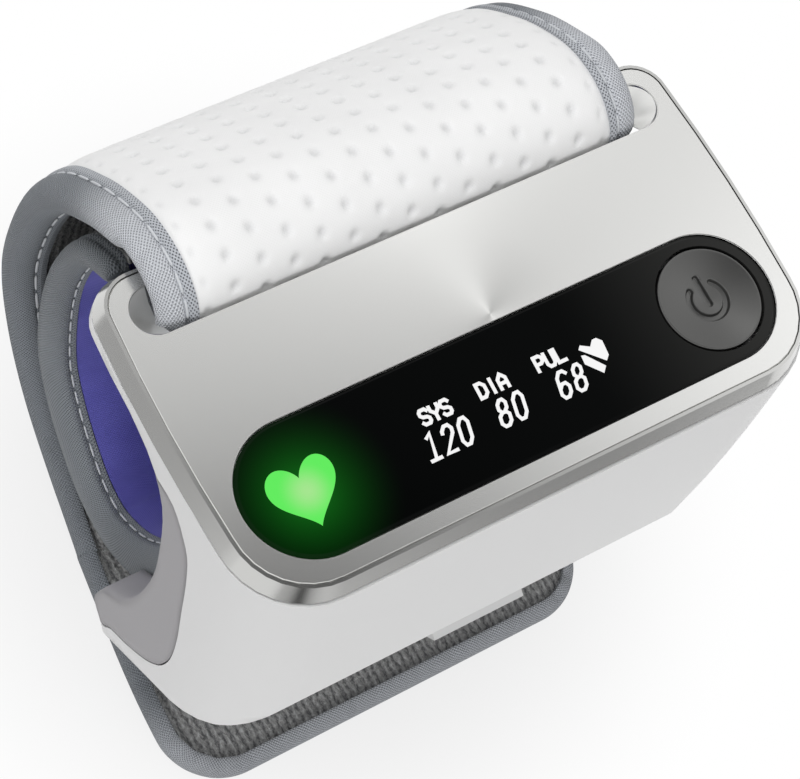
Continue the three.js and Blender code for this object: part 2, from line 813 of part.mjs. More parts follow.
// Front shell: leg, hook, top deck and slot
function frontShell() {
  const deck = loft([
    planRing(plateOutline(-trimRim - gap), -shellTop - gap),
    planRing(plateOutline(-trimRim - gap), -deckLift),
  ]);
  const pocket = upright(pill(pillX, -lensWidth / 2, lensWidth / 2), -shellTop - gap - gap, overrun, 20);
  const throat = upright(pill(pillX, -lensWidth / 2, lensWidth / 2, -holderLedge), -cavityTop - gap, overrun, 16);
  const socket = box(
    lipCentre - socketLength / 2 - gap,
    lipCentre + socketLength / 2 + gap,
    -socketSetback - socketWidth / 2 - gap,
    -socketSetback + socketWidth / 2 + gap,
    -shellDepth,
    -toeDepth,
  );
  let body = housing.add(solid(deck)).subtract(room).subtract(coverSide(seamGap)).subtract(seat);
  for (const [x, z] of screwPlaces) body = body.add(boss(x, z).intersect(housing));
  for (const [x, z] of screwPlaces) body = body.subtract(screwHoles(x, z));
  return shape(body
    .subtract(solid(pocket))
    .subtract(solid(throat))
    .subtract(solid(slotCut))
    .subtract(solid(socket)));
}

// Wrist cover: the grey half with a cheek at each end of the cuff's seat
function wristCover() {
  let body = housing.intersect(coverSide(0)).subtract(room).subtract(seat);
  for (const [x, z] of screwPlaces) body = body.subtract(screwHoles(x, z));
  const bore = bar('y', nippleRadius + gap, -overrun * 2, overrun * 3, [-nippleX, -nippleDepth]);
  const recess = bar('y', nippleFlange + gap, -overrun * 2, nippleFace - wall + gap, [-nippleX, -nippleDepth]);
  return shape(body.subtract(solid(bore)).subtract(solid(recess)));
}

const nippleFace = faceAt(cuff.line.slice(0, 40), -nippleDepth) - gap;
add('front_shell', frontShell(), finish.white);
add('wrist_cover', wristCover(), finish.grey);
screwPlaces.forEach(([x, z], i) => add(`cover_screw_${i + 1}`, screw(x, z), finish.metal));

// Charging socket in the toe and the lip in front of it
function chargingSocket() {
  const low = -toeDepth - toeRadius;
  const outer = box(
    lipCentre - socketLength / 2, lipCentre + socketLength / 2,
    -socketSetback - socketWidth / 2, -socketSetback + socketWidth / 2, low, low + socketHeight,
  );
  const mouth = box(
    lipCentre - socketLength / 2 + socketWall, lipCentre + socketLength / 2 - socketWall,
    -socketSetback - socketWidth / 2 + socketWall, -socketSetback + socketWidth / 2 - socketWall,
    low - overrun, low + socketHeight * 0.8,
  );
  return shape(solid(outer).subtract(solid(mouth)));
}

function portLip() {
  const front = plateFront + trimFlare + shellFrontBulge;
  const outline = new THREE.Shape();
  const [from, to] = [Math.PI * 1.17, Math.PI * 1.29];
  outline.absarc(toeRadius - front, -toeDepth, toeRadius + gap + lipThickness, from, to, false);
  outline.absarc(toeRadius - front, -toeDepth, toeRadius + gap, to, from, true);
  outline.closePath();
  return crosswise(outline, lipLength / 2).translate(lipCentre, 0, 0);
}

add('charging_socket', chargingSocket(), finish.metal);
add('port_lip', portLip(), finish.white);

// Pump, valve, sensor and battery in the leg
const headEnd = headLength + gap;
const manifoldX = headLength / 2;
const manifoldBottom = -pumpDepth + headHeight / 2 + gap;
const sensorBottom = boardBottom - gap - sensorHeight;
const manifoldTop = sensorBottom - gap;

add('pump_head', box(
  gap, headLength, -pumpSetback - headWidth / 2, -pumpSetback + headWidth / 2,
  -pumpDepth - headHeight / 2, -pumpDepth + headHeight / 2,
), finish.dark);
add('pump_motor', bar('x', motorRadius, headEnd, headEnd + motorLength, [-pumpSetback, -pumpDepth], 32), finish.metal);
add('air_manifold', box(
  manifoldX - manifoldLength / 2, manifoldX + manifoldLength / 2,
  -pumpSetback - manifoldWidth / 2, -pumpSetback + manifoldWidth / 2, manifoldBottom, manifoldTop,
), finish.hose);
const valveStart = manifoldX + manifoldLength / 2 + gap;
add('release_valve', bar('x', valveRadius, valveStart, valveStart + valveLength, [-pumpSetback, -valveDepth]), finish.metal);
add('pressure_sensor', box(
  manifoldX - sensorSide / 2, manifoldX + sensorSide / 2,
  -pumpSetback - sensorSide / 2 + gap, -pumpSetback + sensorSide / 2 + gap, sensorBottom, boardBottom - gap,
), finish.dark);
add('battery', box(
  -batteryEnd, batteryLength - batteryEnd, -pumpSetback - batteryThickness / 2 - gap, -pumpSetback + batteryThickness / 2 - gap,
  -batteryTop - batteryHeight, -batteryTop,
), finish.metal);

// Air hose from the manifold to the nipple, and the nipple through the cover to the bladder
const manifoldFace = manifoldX - manifoldLength / 2 - gap;
const nippleTail = nippleFace - wall - gap - nippleFlangeThickness;

function airHose() {
  const start = new THREE.Vector3(manifoldFace, -pumpSetback, -nippleDepth + hoseDrop);
  const end = new THREE.Vector3(-nippleX, nippleTail - 1.6 * gap, -nippleDepth);
  const route = new THREE.CatmullRomCurve3([
    start,
    new THREE.Vector3(-nippleX / 2, -pumpSetback, -nippleDepth + hoseDrop),
    new THREE.Vector3(-nippleX, -pumpSetback, -nippleDepth + hoseDrop / 1.3),
    new THREE.Vector3(-nippleX, -pumpSetback, -nippleDepth + hoseDrop / 3),
    new THREE.Vector3(-nippleX, (nippleTail - pumpSetback) / 2 - gap, -nippleDepth + gap),
    end,
  ]);
  const section = new THREE.Shape().absarc(0, 0, hoseRadius, 0, 2 * Math.PI, false);
  const options = { steps: 28, extrudePath: route, curveSegments: 4, bevelEnabled: false };
  return shape(solid(new THREE.ExtrudeGeometry(section, options)));
}

function cuffNipple() {
  const tip = nippleFace + gap + coverThickness + gap + curlerThickness;
  const profile = [
    [0, nippleTail], [nippleFlange, nippleTail], [nippleFlange, nippleTail + nippleFlangeThickness],
    [nippleRadius, nippleTail + nippleFlangeThickness], [nippleRadius, tip], [0, tip],
  ].map(([r, y]) => new THREE.Vector2(r, y));
  return shape(solid(new THREE.LatheGeometry(profile, 24))).translate(-nippleX, 0, -nippleDepth);
}

add('air_hose', airHose(), finish.hose);
add('cuff_nipple', cuffNipple(), finish.hose);

// Cuff layers from the outside in, between the two pipings
const layerHalf = cuffHalf - pipingWidth - gap;
const nippleHole = solid(bar('y', nippleRadius + gap, -overrun, overrun * 3, [-nippleX, -nippleDepth]));
const bladderFrom = cuff.length * 0.08;
const bladderTo = cuff.length * 0.9;

function cuffLayer(from, to, depths, steps = 40) {
  return layer(cuff, from, to, steps, () => [-layerHalf, layerHalf], depths);
}

function bladderDepths(along) {
  const outer = coverThickness + gap + curlerThickness + gap;
  return [outer, cuffDepth(along) - liningThickness - gap];
}

const cuffOuter = cuffLayer(gap, cuff.length, () => [0, coverThickness]);
const curlerOuter = cuffLayer(bladderFrom, bladderTo, () => [coverThickness + gap, coverThickness + gap + curlerThickness]);
add('cuff_cover', shape(solid(cuffOuter).subtract(nippleHole)), finish.loop);
add('cuff_curler', shape(solid(curlerOuter).subtract(nippleHole)), finish.grey);
add('cuff_bladder', cuffLayer(bladderFrom, bladderTo, bladderDepths), finish.dark);
add('cuff_lining', cuffLayer(gap, cuff.length, (s) => [cuffDepth(s) - liningThickness, cuffDepth(s)]), finish.lining);

function cuffPiping(side) {
  const places = [];
  const steps = 40;
  for (let i = 0; i <= steps; i += 1) {
    const along = gap + ((cuff.length - gap) * i) / steps;
    places.push({ x: side * cuffHalf, along, across: [-side, 0] });
  }
  return edgeStrip(cuff, places, () => pipingWidth, (s) => cuffDepth(s), (s) => cuffDepth(s));
}

add('cuff_piping_left', cuffPiping(-1), finish.knit);
add('cuff_piping_right', cuffPiping(1), finish.knit);

// Strap: the white outer face, up through the slot, over the bar, down behind and under the loop
const flapShares = [
  [0.4, 0.004], [0.58, 0.056], [0.81, 0.147], [0.95, 0.262], [1, 0.405], [0.965, 0.536],
  [0.78, 0.67], [0.54, 0.786], [0.28, 0.873], [-0.04, 0.948], [-0.33, 0.988], [-0.56, 1],
];
const cuffEnd = cuff.at(0, cuff.length, cuffTopThickness);
const strapPlaces = [
  [cuffEnd.y - gap, cuffEnd.z],
  [slotLine + (cuffEnd.y - slotLine) * 0.45, cuffEnd.z * 0.93],
  [slotLine + (cuffEnd.y - slotLine) * 0.12, -slabDepth * 1.1],
  [slotLine, -slabDepth * 0.45],
  [slotLine + (barMiddle - slotLine) * 0.13, crest * 0.16],
  [slotLine + (barMiddle - slotLine) * 0.5, crest * 0.76],
  [barMiddle, crest],
  [barMiddle + (barMiddle - slotLine) * 0.61, crest * 0.76],
  ...flapShares.map(([y, z]) => [barMiddle + y * (flapReach - barMiddle), -z * flapDepth]),
];
strapPlaces.push([-flapTip * 0.5, -flapDepth], [-flapTip, -flapDepth]);
const strapLine = through(strapPlaces, 260);
for (const p of strapLine) p.y = Math.max(p.y, -flapDepth);
const strap = new Sheet(strapLine);
const strapHalf = strapWidth / 2;
const strapSplit = strap.nearest(barMiddle, crest) + flapStart;

// The flap wanders sideways: a little one way at the back, then the other way toward its tip.
function skew(along) {
  const lean = THREE.MathUtils.smoothstep(along, strap.length * 0.5, strap.length * 0.72);
  const turn = THREE.MathUtils.smoothstep(along, strap.length * 0.72, strap.length * 0.96);
  return strapShift + flapLean * lean - (flapLean + flapSkew) * turn;
}

// Half the strap's width, which tapers a little toward the tip.
function halfWidth(along) {
  return strapHalf - flapTipTaper * THREE.MathUtils.smoothstep(along, strap.length * 0.8, strap.length);
}

function straightEdge(side, from, to, steps) {
  const places = [];
  for (let i = 0; i <= steps; i += 1) {
    const along = from + ((to - from) * i) / steps;
    places.push({ x: side * halfWidth(along) + skew(along), along, across: [-side, 0] });
  }
  return places;
}

// The binding is thick where it is free and thin where it passes through the slot and over the bar.
function bindingThickness(along) {
  const past = Math.max(along - strapSplit, 0) / (2.5 * (barBack - slotBack));
  return strapThickness + bindingBulge * (1 - Math.exp(-(past ** 4)));
}

// The binding's width, which is less on the part of the flap under the loop.
function bindingAt(along) {
  const narrow = THREE.MathUtils.smoothstep(along, strap.length * 0.55, strap.length * 0.75);
  return bindingWidth + (bindingTipWidth - bindingWidth) * narrow;
}

function foldPiece(depths, inset) {
  const half = strapHalf - inset;
  return layer(strap, 0, strapSplit - gap, 24, () => [strapShift - half, strapShift + half], depths);
}

const faceInset = bindingWidth + gap;
const backDepth = faceThickness + gap;
add('fold_face', foldPiece(() => [0, -faceThickness], faceInset), finish.cloth);
add('fold_backing', foldPiece(() => [-backDepth, -strapThickness], faceInset), finish.loop);
for (const [name, side] of [['fold_binding_left', -1], ['fold_binding_right', 1]]) {
  const places = straightEdge(side, 0, strapSplit - gap, 24);
  const strip = edgeStrip(strap, places, bindingAt, bindingThickness, () => 0);
  add(name, strip, finish.knit);
}

// The flap's tip inside its binding
const tipInset = bindingTipWidth + gap;
const tipRound = flapTipRadius - tipInset;
const tipEnd = strap.length - tipInset;

// The flap's side lines at a distance along it, inside the binding, with rounded tip corners
function flapSides(along) {
  const into = Math.max(along - (tipEnd - tipRound), 0);
  const cut = tipRound - Math.sqrt(Math.max(tipRound * tipRound - into * into, 0));
  const half = halfWidth(along) - bindingAt(along) - gap - cut;
  return [skew(along) - half, skew(along) + half];
}

function flapLayer(depths) {
  const main = layer(strap, strapSplit, tipEnd - tipRound, 42, flapSides, depths);
  const tip = layer(strap, tipEnd - tipRound - gap, tipEnd, 6, flapSides, depths);
  return shape(solid(main).add(solid(tip)));
}

function flapBinding() {
  const corner = strap.length - flapTipRadius;
  const places = straightEdge(-1, strapSplit, corner, 42);
  const around = 6;
  for (const side of [-1, 1]) {
    for (let i = 1; i < around; i += 1) {
      const turn = ((side < 0 ? i : around - i) / around) * (Math.PI / 2);
      const along = corner + flapTipRadius * Math.sin(turn);
      const x = side * (halfWidth(along) - flapTipRadius + flapTipRadius * Math.cos(turn)) + skew(along);
      places.push({ x, along, across: [-side * Math.cos(turn), -Math.sin(turn)] });
    }
    if (side < 0) {
      for (const x of [-1, 0, 1]) {
        places.push({ x: x * (halfWidth(strap.length) - flapTipRadius) + skew(strap.length), along: strap.length, across: [0, -1] });
      }
    }
  }
  places.push(...straightEdge(1, strapSplit, corner, 42).reverse());
  return edgeStrip(strap, places, bindingAt, bindingThickness, () => 0);
}

add('flap_face', flapLayer(() => [0, -faceThickness]), finish.cloth);
add('flap_backing', flapLayer(() => [-backDepth, -strapThickness]), finish.loop);
add('flap_binding', flapBinding(), finish.knit);
const patchEnd = tipEnd - flapTipRadius / 2;
const patchSides = (along) => [skew(along) - patchWidth / 2, skew(along) + patchWidth / 2];
const patchDepths = () => [-strapThickness - gap, -strapThickness - gap - patchThickness];
add('flap_hook_patch', layer(strap, patchEnd - patchLength, patchEnd, 14, patchSides, patchDepths), finish.dark);

export default root;
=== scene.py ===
"""Looks of a wrist blood pressure monitor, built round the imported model.

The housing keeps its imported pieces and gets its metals, plastics and glass. The readings, the lit
heart, the engraved button, the padded cuff and the strap with its closure flap are made here.
Shapes are worked out in millimetres from the middle of the display's window.
"""

import json
import logging
import math
from collections.abc import Callable
from dataclasses import dataclass, field
from enum import Enum
from functools import cache

import bmesh
import bpy
import numpy as np
from mathutils import Matrix, Vector


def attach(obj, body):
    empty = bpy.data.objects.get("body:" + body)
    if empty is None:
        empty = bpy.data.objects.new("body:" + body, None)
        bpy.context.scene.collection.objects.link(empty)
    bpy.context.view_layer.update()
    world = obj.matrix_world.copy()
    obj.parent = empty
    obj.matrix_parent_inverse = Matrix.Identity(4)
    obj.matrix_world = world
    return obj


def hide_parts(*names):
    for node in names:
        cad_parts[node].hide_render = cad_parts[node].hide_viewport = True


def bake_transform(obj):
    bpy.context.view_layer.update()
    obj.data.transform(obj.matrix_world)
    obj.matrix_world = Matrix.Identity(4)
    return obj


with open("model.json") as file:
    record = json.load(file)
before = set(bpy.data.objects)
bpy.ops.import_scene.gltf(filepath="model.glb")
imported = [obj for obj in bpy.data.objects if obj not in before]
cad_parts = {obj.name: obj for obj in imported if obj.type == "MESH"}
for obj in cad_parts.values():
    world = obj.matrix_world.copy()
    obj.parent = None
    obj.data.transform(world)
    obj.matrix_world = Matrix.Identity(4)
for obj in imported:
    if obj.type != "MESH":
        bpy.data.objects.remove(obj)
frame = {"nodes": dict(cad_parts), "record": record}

LOG = logging.getLogger("wrist_monitor")
Array = np.ndarray
Piece = bpy.types.Object
Socket = bpy.types.NodeSocket
Pair = tuple[float, float]
Triple = tuple[float, float, float]
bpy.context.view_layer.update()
ORIGIN = np.array([0.0, -19.05, 72.0])
TABLE = -ORIGIN[2]
MM = 0.001
FULL_TURN = 2 * math.pi
QUARTER = math.pi / 2
SPLINE_STEPS = 6000
WELD_REACH = 2e-6


class Body(Enum):
    """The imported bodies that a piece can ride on."""

    MONITOR = "monitor"
    BUTTON = "button"
    FLAP = "flap"


def to_row(points: Array) -> Array:
    """Turns millimetres measured from the display's centre into metres of the row frame."""
    return (points + ORIGIN) * MM


def linear(hex_colour: str) -> tuple[float, float, float, float]:
    """Turns an sRGB hex colour into the linear colour that shaders want.

    Args:
        hex_colour: six hex digits with a leading hash.

    Returns:
        Red, green, blue and a full alpha.
    """
    share = [int(hex_colour[i : i + 2], 16) / 255 for i in (1, 3, 5)]
    light = [c / 12.92 if c <= 0.04045 else ((c + 0.055) / 1.055) ** 2.4 for c in share]
    return (*light, 1.0)


def smoothstep(value: Array, low: float, high: float) -> Array:
    """Rises from 0 at low to 1 at high, flat at both ends: 3t squared less 2t cubed."""
    t = np.clip((value - low) / (high - low), 0, 1)
    return t * t * (3 - 2 * t)


def between(value: Array, rise: Pair, fall: Pair) -> Array:
    """Rises smoothly to 1 over one range and falls back to 0 over a later one."""
    return smoothstep(value, *rise) * (1 - smoothstep(value, *fall))


def travel(line: Array) -> Array:
    """The distance of each point along a line, from its first point."""
    return np.r_[0, np.cumsum(np.linalg.norm(np.diff(line, axis=0), axis=1))]


def at_height(points: Array, height: float) -> Array:
    """Gives a grid of flat points a height as their third number."""
    return np.concatenate([points, np.full((*points.shape[:2], 1), height)], axis=2)


# ---------------------------------------------------------------- nodes


def feed(tree: bpy.types.NodeTree, socket: Socket, value: object) -> None:
    """Gives an input its value, or links it to an output.

    Args:
        tree: the node tree.
        socket: the input.
        value: a value or an output.
    """
    if isinstance(value, Socket):
        tree.links.new(value, socket)
    else:
        socket.default_value = value


def add_node(tree: bpy.types.NodeTree, kind: str, inputs: dict | None = None,
             **settings: object) -> bpy.types.Node:
    """Adds one node to a tree, with its settings, its values and its links.

    Args:
        tree: the node tree.
        kind: the node's type name, less its first word.
        inputs: input name or number to a value or an output.
        settings: attributes of the node.

    Returns:
        The new node.
    """
    node = tree.nodes.new("ShaderNode" + kind)
    for name, value in settings.items():
        setattr(node, name, value)
    for key, value in (inputs or {}).items():
        feed(tree, node.inputs[key], value)
    return node


@dataclass
class Graph:
    """A node tree with short ways to add the nodes that repeat. Each gives its output."""

    tree: bpy.types.NodeTree

    def add(self, kind: str, inputs: dict | None = None, output: int | str = 0,
            **settings: object) -> Socket:
        """Adds a node and gives one of its outputs, the first if none is named."""
        return add_node(self.tree, kind, inputs, **settings).outputs[output]

    def surface(self, name: str, value: object) -> None:
        """Sets or links an input of the material's surface shader."""
        feed(self.tree, self.tree.nodes["Principled BSDF"].inputs[name], value)

    def math(self, operation: str, *values: object) -> Socket:
        """Works out one number from up to three."""
        return self.add("Math", dict(enumerate(values)), operation=operation)

    def vector(self, operation: str, *values: object, output: str = "Vector") -> Socket:
        """Works out a vector, or the number that output names, from up to two vectors."""
        return self.add("VectorMath", dict(enumerate(values)), output, operation=operation)

    def scaled(self, vector: Socket, scale: object) -> Socket:
        """A vector times a number."""
        return self.add("VectorMath", {0: vector, "Scale": scale}, operation="SCALE")

    def ramp(self, value: Socket, low: float = 0.0, high: float = 1.0, start: float = 0.0,
             end: float = 1.0, kind: str = "LINEAR") -> Socket:
        """Maps the range from low to high onto the one from start to end, and clamps."""
        inputs = {0: value, 1: low, 2: high, 3: start, 4: end}
        return self.add("MapRange", inputs, interpolation_type=kind)

    def mix(self, share: object, first: object, second: object) -> Socket:
        """Mixes two colours by a share of the second."""
        return self.add("Mix", {0: share, 6: first, 7: second}, 2, data_type="RGBA")

    def noise(self, vector: Socket, scale: float, detail: float, **more: float) -> Socket:
        """Soft noise over a vector."""
        return self.add("TexNoise", {"Vector": vector, "Scale": scale, "Detail": detail, **more})

    def bump(self, height: Socket, depth: float, strength: float = 1.0, edge: float = 0.0) -> None:
        """Gives the surface a relief.

        Args:
            height: the relief's shape.
            depth: how high it is in millimetres.
            strength: the share of it that is used.
            edge: the radius in millimetres by which the piece's edges look softened.
        """
        inputs = {"Height": height, "Distance": depth * MM, "Strength": strength}
        if edge:
            inputs["Normal"] = self.add("Bevel", {"Radius": edge * MM}, samples=6)
        self.surface("Normal", self.add("Bump", inputs))

    def place(self) -> Socket:
        """The place on the piece, in metres."""
        return self.add("TexCoord", output="Object")

    def cloth(self) -> Socket:
        """The place on the cloth's own pattern, in millimetres."""
        return self.add("UVMap", uv_map="cloth")

    def axes(self, vector: Socket) -> tuple[Socket, Socket]:
        """The first two numbers of a vector."""
        node = add_node(self.tree, "SeparateXYZ", {0: vector})
        return node.outputs["X"], node.outputs["Y"]

    def attribute(self, name: str) -> Socket:
        """A value that the mesh carries at its points."""
        return self.add("Attribute", output="Fac", attribute_name=name)

    def wave(self, value: Socket, pitch: float) -> Socket:
        """The sine of a value that repeats over a pitch."""
        return self.math("SINE", self.math("MULTIPLY", value, FULL_TURN / pitch))

    def distance(self, centre: Pair) -> Socket:
        """The distance in metres from a point at the display's level."""
        return self.vector("DISTANCE", self.place(), hub(centre), output="Value")

    def seen(self, *more: str) -> Socket:
        """Tells the rays that come from the camera or a mirror.

        Args:
            more: the names of other kinds of ray that count.

        Returns:
            1 for such a ray, or else 0.
        """
        path = add_node(self.tree, "LightPath")
        share = path.outputs["Is Camera Ray"]
        for name in ("Is Glossy Ray", *more):
            share = self.math("MAXIMUM", share, path.outputs[name])
        return share


def hub(centre: Pair) -> Triple:
    """A point at the display's level, in metres."""
    return tuple(to_row(np.array([*centre, 0.0])))


def new_material(name: str) -> tuple[bpy.types.Material, Graph]:
    """Makes a material with nodes.

    Args:
        name: the material's name.

    Returns:
        The material and its graph.
    """
    material = bpy.data.materials.new(name)
    material.use_nodes = True
    return material, Graph(material.node_tree)


# ---------------------------------------------------------------- lines and sheets


def spline(places: Array, count: int) -> Array:
    """A smooth line through a few places, cut into even steps.

    Each stretch is the cubic whose slope at a place is half the step from the place before it to
    the place after it. The line is then sampled again at equal distances.

    Args:
        places: the places, one a row.
        count: how many steps the line gets.

    Returns:
        The points, one more than the steps.
    """
    last = len(places) - 1
    t = np.linspace(0, last, SPLINE_STEPS)
    i = np.minimum(t.astype(int), last - 1)
    w = (t - i)[:, None]
    before, start = places[np.maximum(i - 1, 0)], places[i]
    end, after = places[i + 1], places[np.minimum(i + 2, last)]
    slope_in, slope_out = (end - before) / 2, (after - start) / 2
    cubic = 2 * start - 2 * end + slope_in + slope_out
    square = 3 * end - 3 * start - 2 * slope_in - slope_out
    line = cubic * w**3 + square * w**2 + slope_in * w + start
    reach = travel(line)
    even = np.linspace(0, reach[-1], count + 1)
    return np.stack([np.interp(even, reach, line[:, k]) for k in range(line.shape[1])], axis=1)


@dataclass
class Sheet:
    """A sheet that follows a line in Y and Z.

    A place on it has x across, a distance along the line, and n off the sheet to the left of
    travel.
    """

    line: Array
    normals: Array = field(init=False)
    reach: Array = field(init=False)

    def __post_init__(self) -> None:
        """Works out the normals and the distance of each point along the line."""
        step = np.gradient(self.line, axis=0)
        step /= np.linalg.norm(step, axis=1, keepdims=True)
        self.normals = np.stack([-step[:, 1], step[:, 0]], axis=1)
        self.reach = travel(self.line)

    @property
    def length(self) -> float:
        """The whole length of the line."""
        return float(self.reach[-1])

    def at(self, x: Array, along: Array, n: Array) -> Array:
        """Points of the sheet.

        The line's point at the distance, moved along its unit normal by n, with x beside it. None
        lies below the table that the object stands on.

        Args:
            x: places across.
            along: distances along the line.
            n: distances off the sheet.

        Returns:
            The points, with x, y and z in the last axis.
        """
        x, along, n = np.broadcast_arrays(x, along, n)
        line = [np.interp(along, self.reach, self.line[:, k]) for k in (0, 1)]
        normal = [np.interp(along, self.reach, self.normals[:, k]) for k in (0, 1)]
        size = np.hypot(*normal)
        z = np.maximum(line[1] + normal[1] / size * n, TABLE)
        return np.stack([x, line[0] + normal[0] / size * n, z], axis=-1)

    def nearest(self, y: float, z: float) -> float:
        """The distance along the line of its point nearest to a place in Y and Z."""
        return float(self.reach[np.argmin(np.hypot(self.line[:, 0] - y, self.line[:, 1] - z))])


# ---------------------------------------------------------------- meshes


@dataclass
class Skin:
    """The grids that make up one mesh, gathered before the mesh is made."""

    points: list[Array] = field(default_factory=list)
    faces: list[list[int]] = field(default_factory=list)
    marks: list[Array] = field(default_factory=list)
    shades: dict[str, list[Array]] = field(default_factory=dict)
    count: int = 0

    def grid(self, points: Array, marks: Array | None = None, around: bool = False,
             turned: bool = False, shades: dict[str, Array] | None = None,
             caps: bool = False) -> None:
        """Adds a grid of quads.

        The quad in row i and column j joins the points (i, j), (i, j+1), (i+1, j+1), (i+1, j).

        Args:
            points: rows by columns by 3.
            marks: rows by columns by 2 pattern places; one more column where the grid closes
                round on itself.
            around: whether the last column joins the first.
            turned: whether the faces look the other way.
            shades: values by name for each point.
            caps: whether the first and last row are closed with one face each.
        """
        rows, columns = points.shape[:2]
        across = columns if around else columns - 1
        i, j = np.meshgrid(np.arange(rows - 1), np.arange(across), indexing="ij")
        i, j = i.ravel(), j.ravel()
        k = (j + 1) % columns
        low, high = i * columns, (i + 1) * columns
        quads = np.stack([low + j, low + k, high + k, high + j], axis=1)
        if marks is None:
            marks = np.zeros((rows, across + 1, 2))
        corners = [marks[i, j], marks[i, j + 1], marks[i + 1, j + 1], marks[i + 1, j]]
        corner = np.stack(corners, axis=1)
        if turned:
            quads, corner = quads[:, ::-1], corner[:, ::-1]
        self.faces += (quads + self.count).tolist()
        self.marks.append(corner.reshape(-1, 2))
        if caps:
            for ring in (np.arange(columns)[::-1], (rows - 1) * columns + np.arange(columns)):
                ring = ring[::-1] if turned else ring
                self.faces.append((ring + self.count).tolist())
                self.marks.append(np.zeros((columns, 2)))
        self.points.append(points.reshape(-1, 3))
        for name, value in (shades or {}).items():
            value = np.broadcast_to(value, points.shape[:2]).ravel()
            self.shades.setdefault(name, []).append(value)
        self.count += rows * columns

    def slab(self, top: Array, bottom: Array, marks: Array,
             shades: dict[str, Array] | None = None) -> None:
        """Adds a closed layer between two grids of the same size, with its four side walls.

        The outline of both grids is walked once round, and a wall joins them.

        Args:
            top: the outer grid.
            bottom: the inner grid.
            marks: pattern places of both.
            shades: values by name for each point of both grids.
        """
        self.grid(top, marks, shades=shades)
        self.grid(bottom, marks, turned=True, shades=shades)
        edges = [lambda g: g[0], lambda g: g[:, -1], lambda g: g[-1, ::-1], lambda g: g[::-1, 0]]
        for edge in edges:
            wall = np.stack([edge(top), edge(bottom)])
            place = np.stack([edge(marks), edge(marks)])
            part = {name: np.stack([edge(v), edge(v)]) for name, v in (shades or {}).items()}
            self.grid(wall, place, turned=True, shades=part)

    def make(self, name: str, weld: bool = False, sharp: float | None = None) -> Piece:
        """Makes the mesh and its object at the origin.

        Args:
            name: the piece's name.
            weld: whether points in the same place become one.
            sharp: the angle in degrees past which an edge stays sharp.

        Returns:
            The new object, linked to the scene.
        """
        mesh = bpy.data.meshes.new(name)
        mesh.from_pydata(to_row(np.concatenate(self.points)).tolist(), [], self.faces)
        layer = mesh.uv_layers.new(name="cloth")
        layer.data.foreach_set("uv", np.concatenate(self.marks).astype(np.float32).ravel())
        for key, values in self.shades.items():
            shade = mesh.attributes.new(key, "FLOAT", "POINT")
            shade.data.foreach_set("value", np.concatenate(values).astype(np.float32))
        piece = bpy.data.objects.new(name, mesh)
        bpy.context.scene.collection.objects.link(piece)
        tidy_mesh(mesh, weld, sharp)
        return piece


def tidy_mesh(mesh: bpy.types.Mesh, weld: bool, sharp: float | None) -> None:
    """Welds a mesh if asked, and shades it smooth.

    Args:
        mesh: the mesh to work on.
        weld: whether points in the same place become one and the faces are turned outward.
        sharp: the angle in degrees past which an edge stays sharp.
    """
    if weld:
        work = bmesh.new()
        work.from_mesh(mesh)
        bmesh.ops.remove_doubles(work, verts=work.verts, dist=WELD_REACH)
        bmesh.ops.recalc_face_normals(work, faces=work.faces)
        work.to_mesh(mesh)
        work.free()
    mesh.shade_smooth()
    if sharp is not None:
        mesh.set_sharp_from_angle(angle=math.radians(sharp))


# ---------------------------------------------------------------- finishes


@dataclass(frozen=True)
class Finish:
    """A plain moulded or plated finish, with the faint unevenness of its surface.

    The unevenness is a soft noise whose grain is given in millimetres.
    """

    name: str
    colour: str
    roughness: float = 0.5
    metallic: float = 0.0
    coat: float = 0.0
    grain: float = 0.4
    depth: float = 0.01
    mottle: float = 0.04
    ior: float = 1.5
    specular: float = 0.5
    sheen: float = 0.0
    edge: float = 0.0
    coat_roughness: float = 0.12
    sheen_roughness: float = 0.4
    cloud: float = 60.0
    polish: float = 0.08

    def make(self) -> bpy.types.Material:
        """Builds the material.

        Returns:
            The new material, with its pattern.
        """
        material, graph = new_material(self.name)
        values = {
            "Base Color": linear(self.colour), "Roughness": self.roughness,
            "Metallic": self.metallic, "IOR": self.ior, "Specular IOR Level": self.specular,
            "Coat Weight": self.coat, "Coat Roughness": self.coat_roughness,
            "Sheen Weight": self.sheen, "Sheen Roughness": self.sheen_roughness,
        }
        for name, value in values.items():
            graph.surface(name, value)
        self.pattern(graph)
        return material

    def mottled(self, graph: Graph, share: Socket) -> None:
        """Darkens the colour a little where a share is low.

        Args:
            graph: the material's nodes.
            share: 1 where the colour stays, 0 where it is darkest.
        """
        low = (*(c * (1 - self.mottle) for c in linear(self.colour)[:3]), 1)
        graph.surface("Base Color", graph.mix(share, low, linear(self.colour)))

    def pattern(self, graph: Graph) -> None:
        """Adds the grain and the slight change of colour over the surface.

        Args:
            graph: the material's nodes.
        """
        place = graph.place()
        fine = graph.noise(place, 1 / (self.grain * MM), 3.0)
        wide = graph.noise(place, self.cloud, 2.0)
        graph.bump(fine, self.depth, edge=self.edge)
        self.mottled(graph, wide)
        low, high = (self.roughness * (1 + way * self.polish) for way in (-1, 1))
        graph.surface("Roughness", graph.ramp(wide, start=low, end=high))


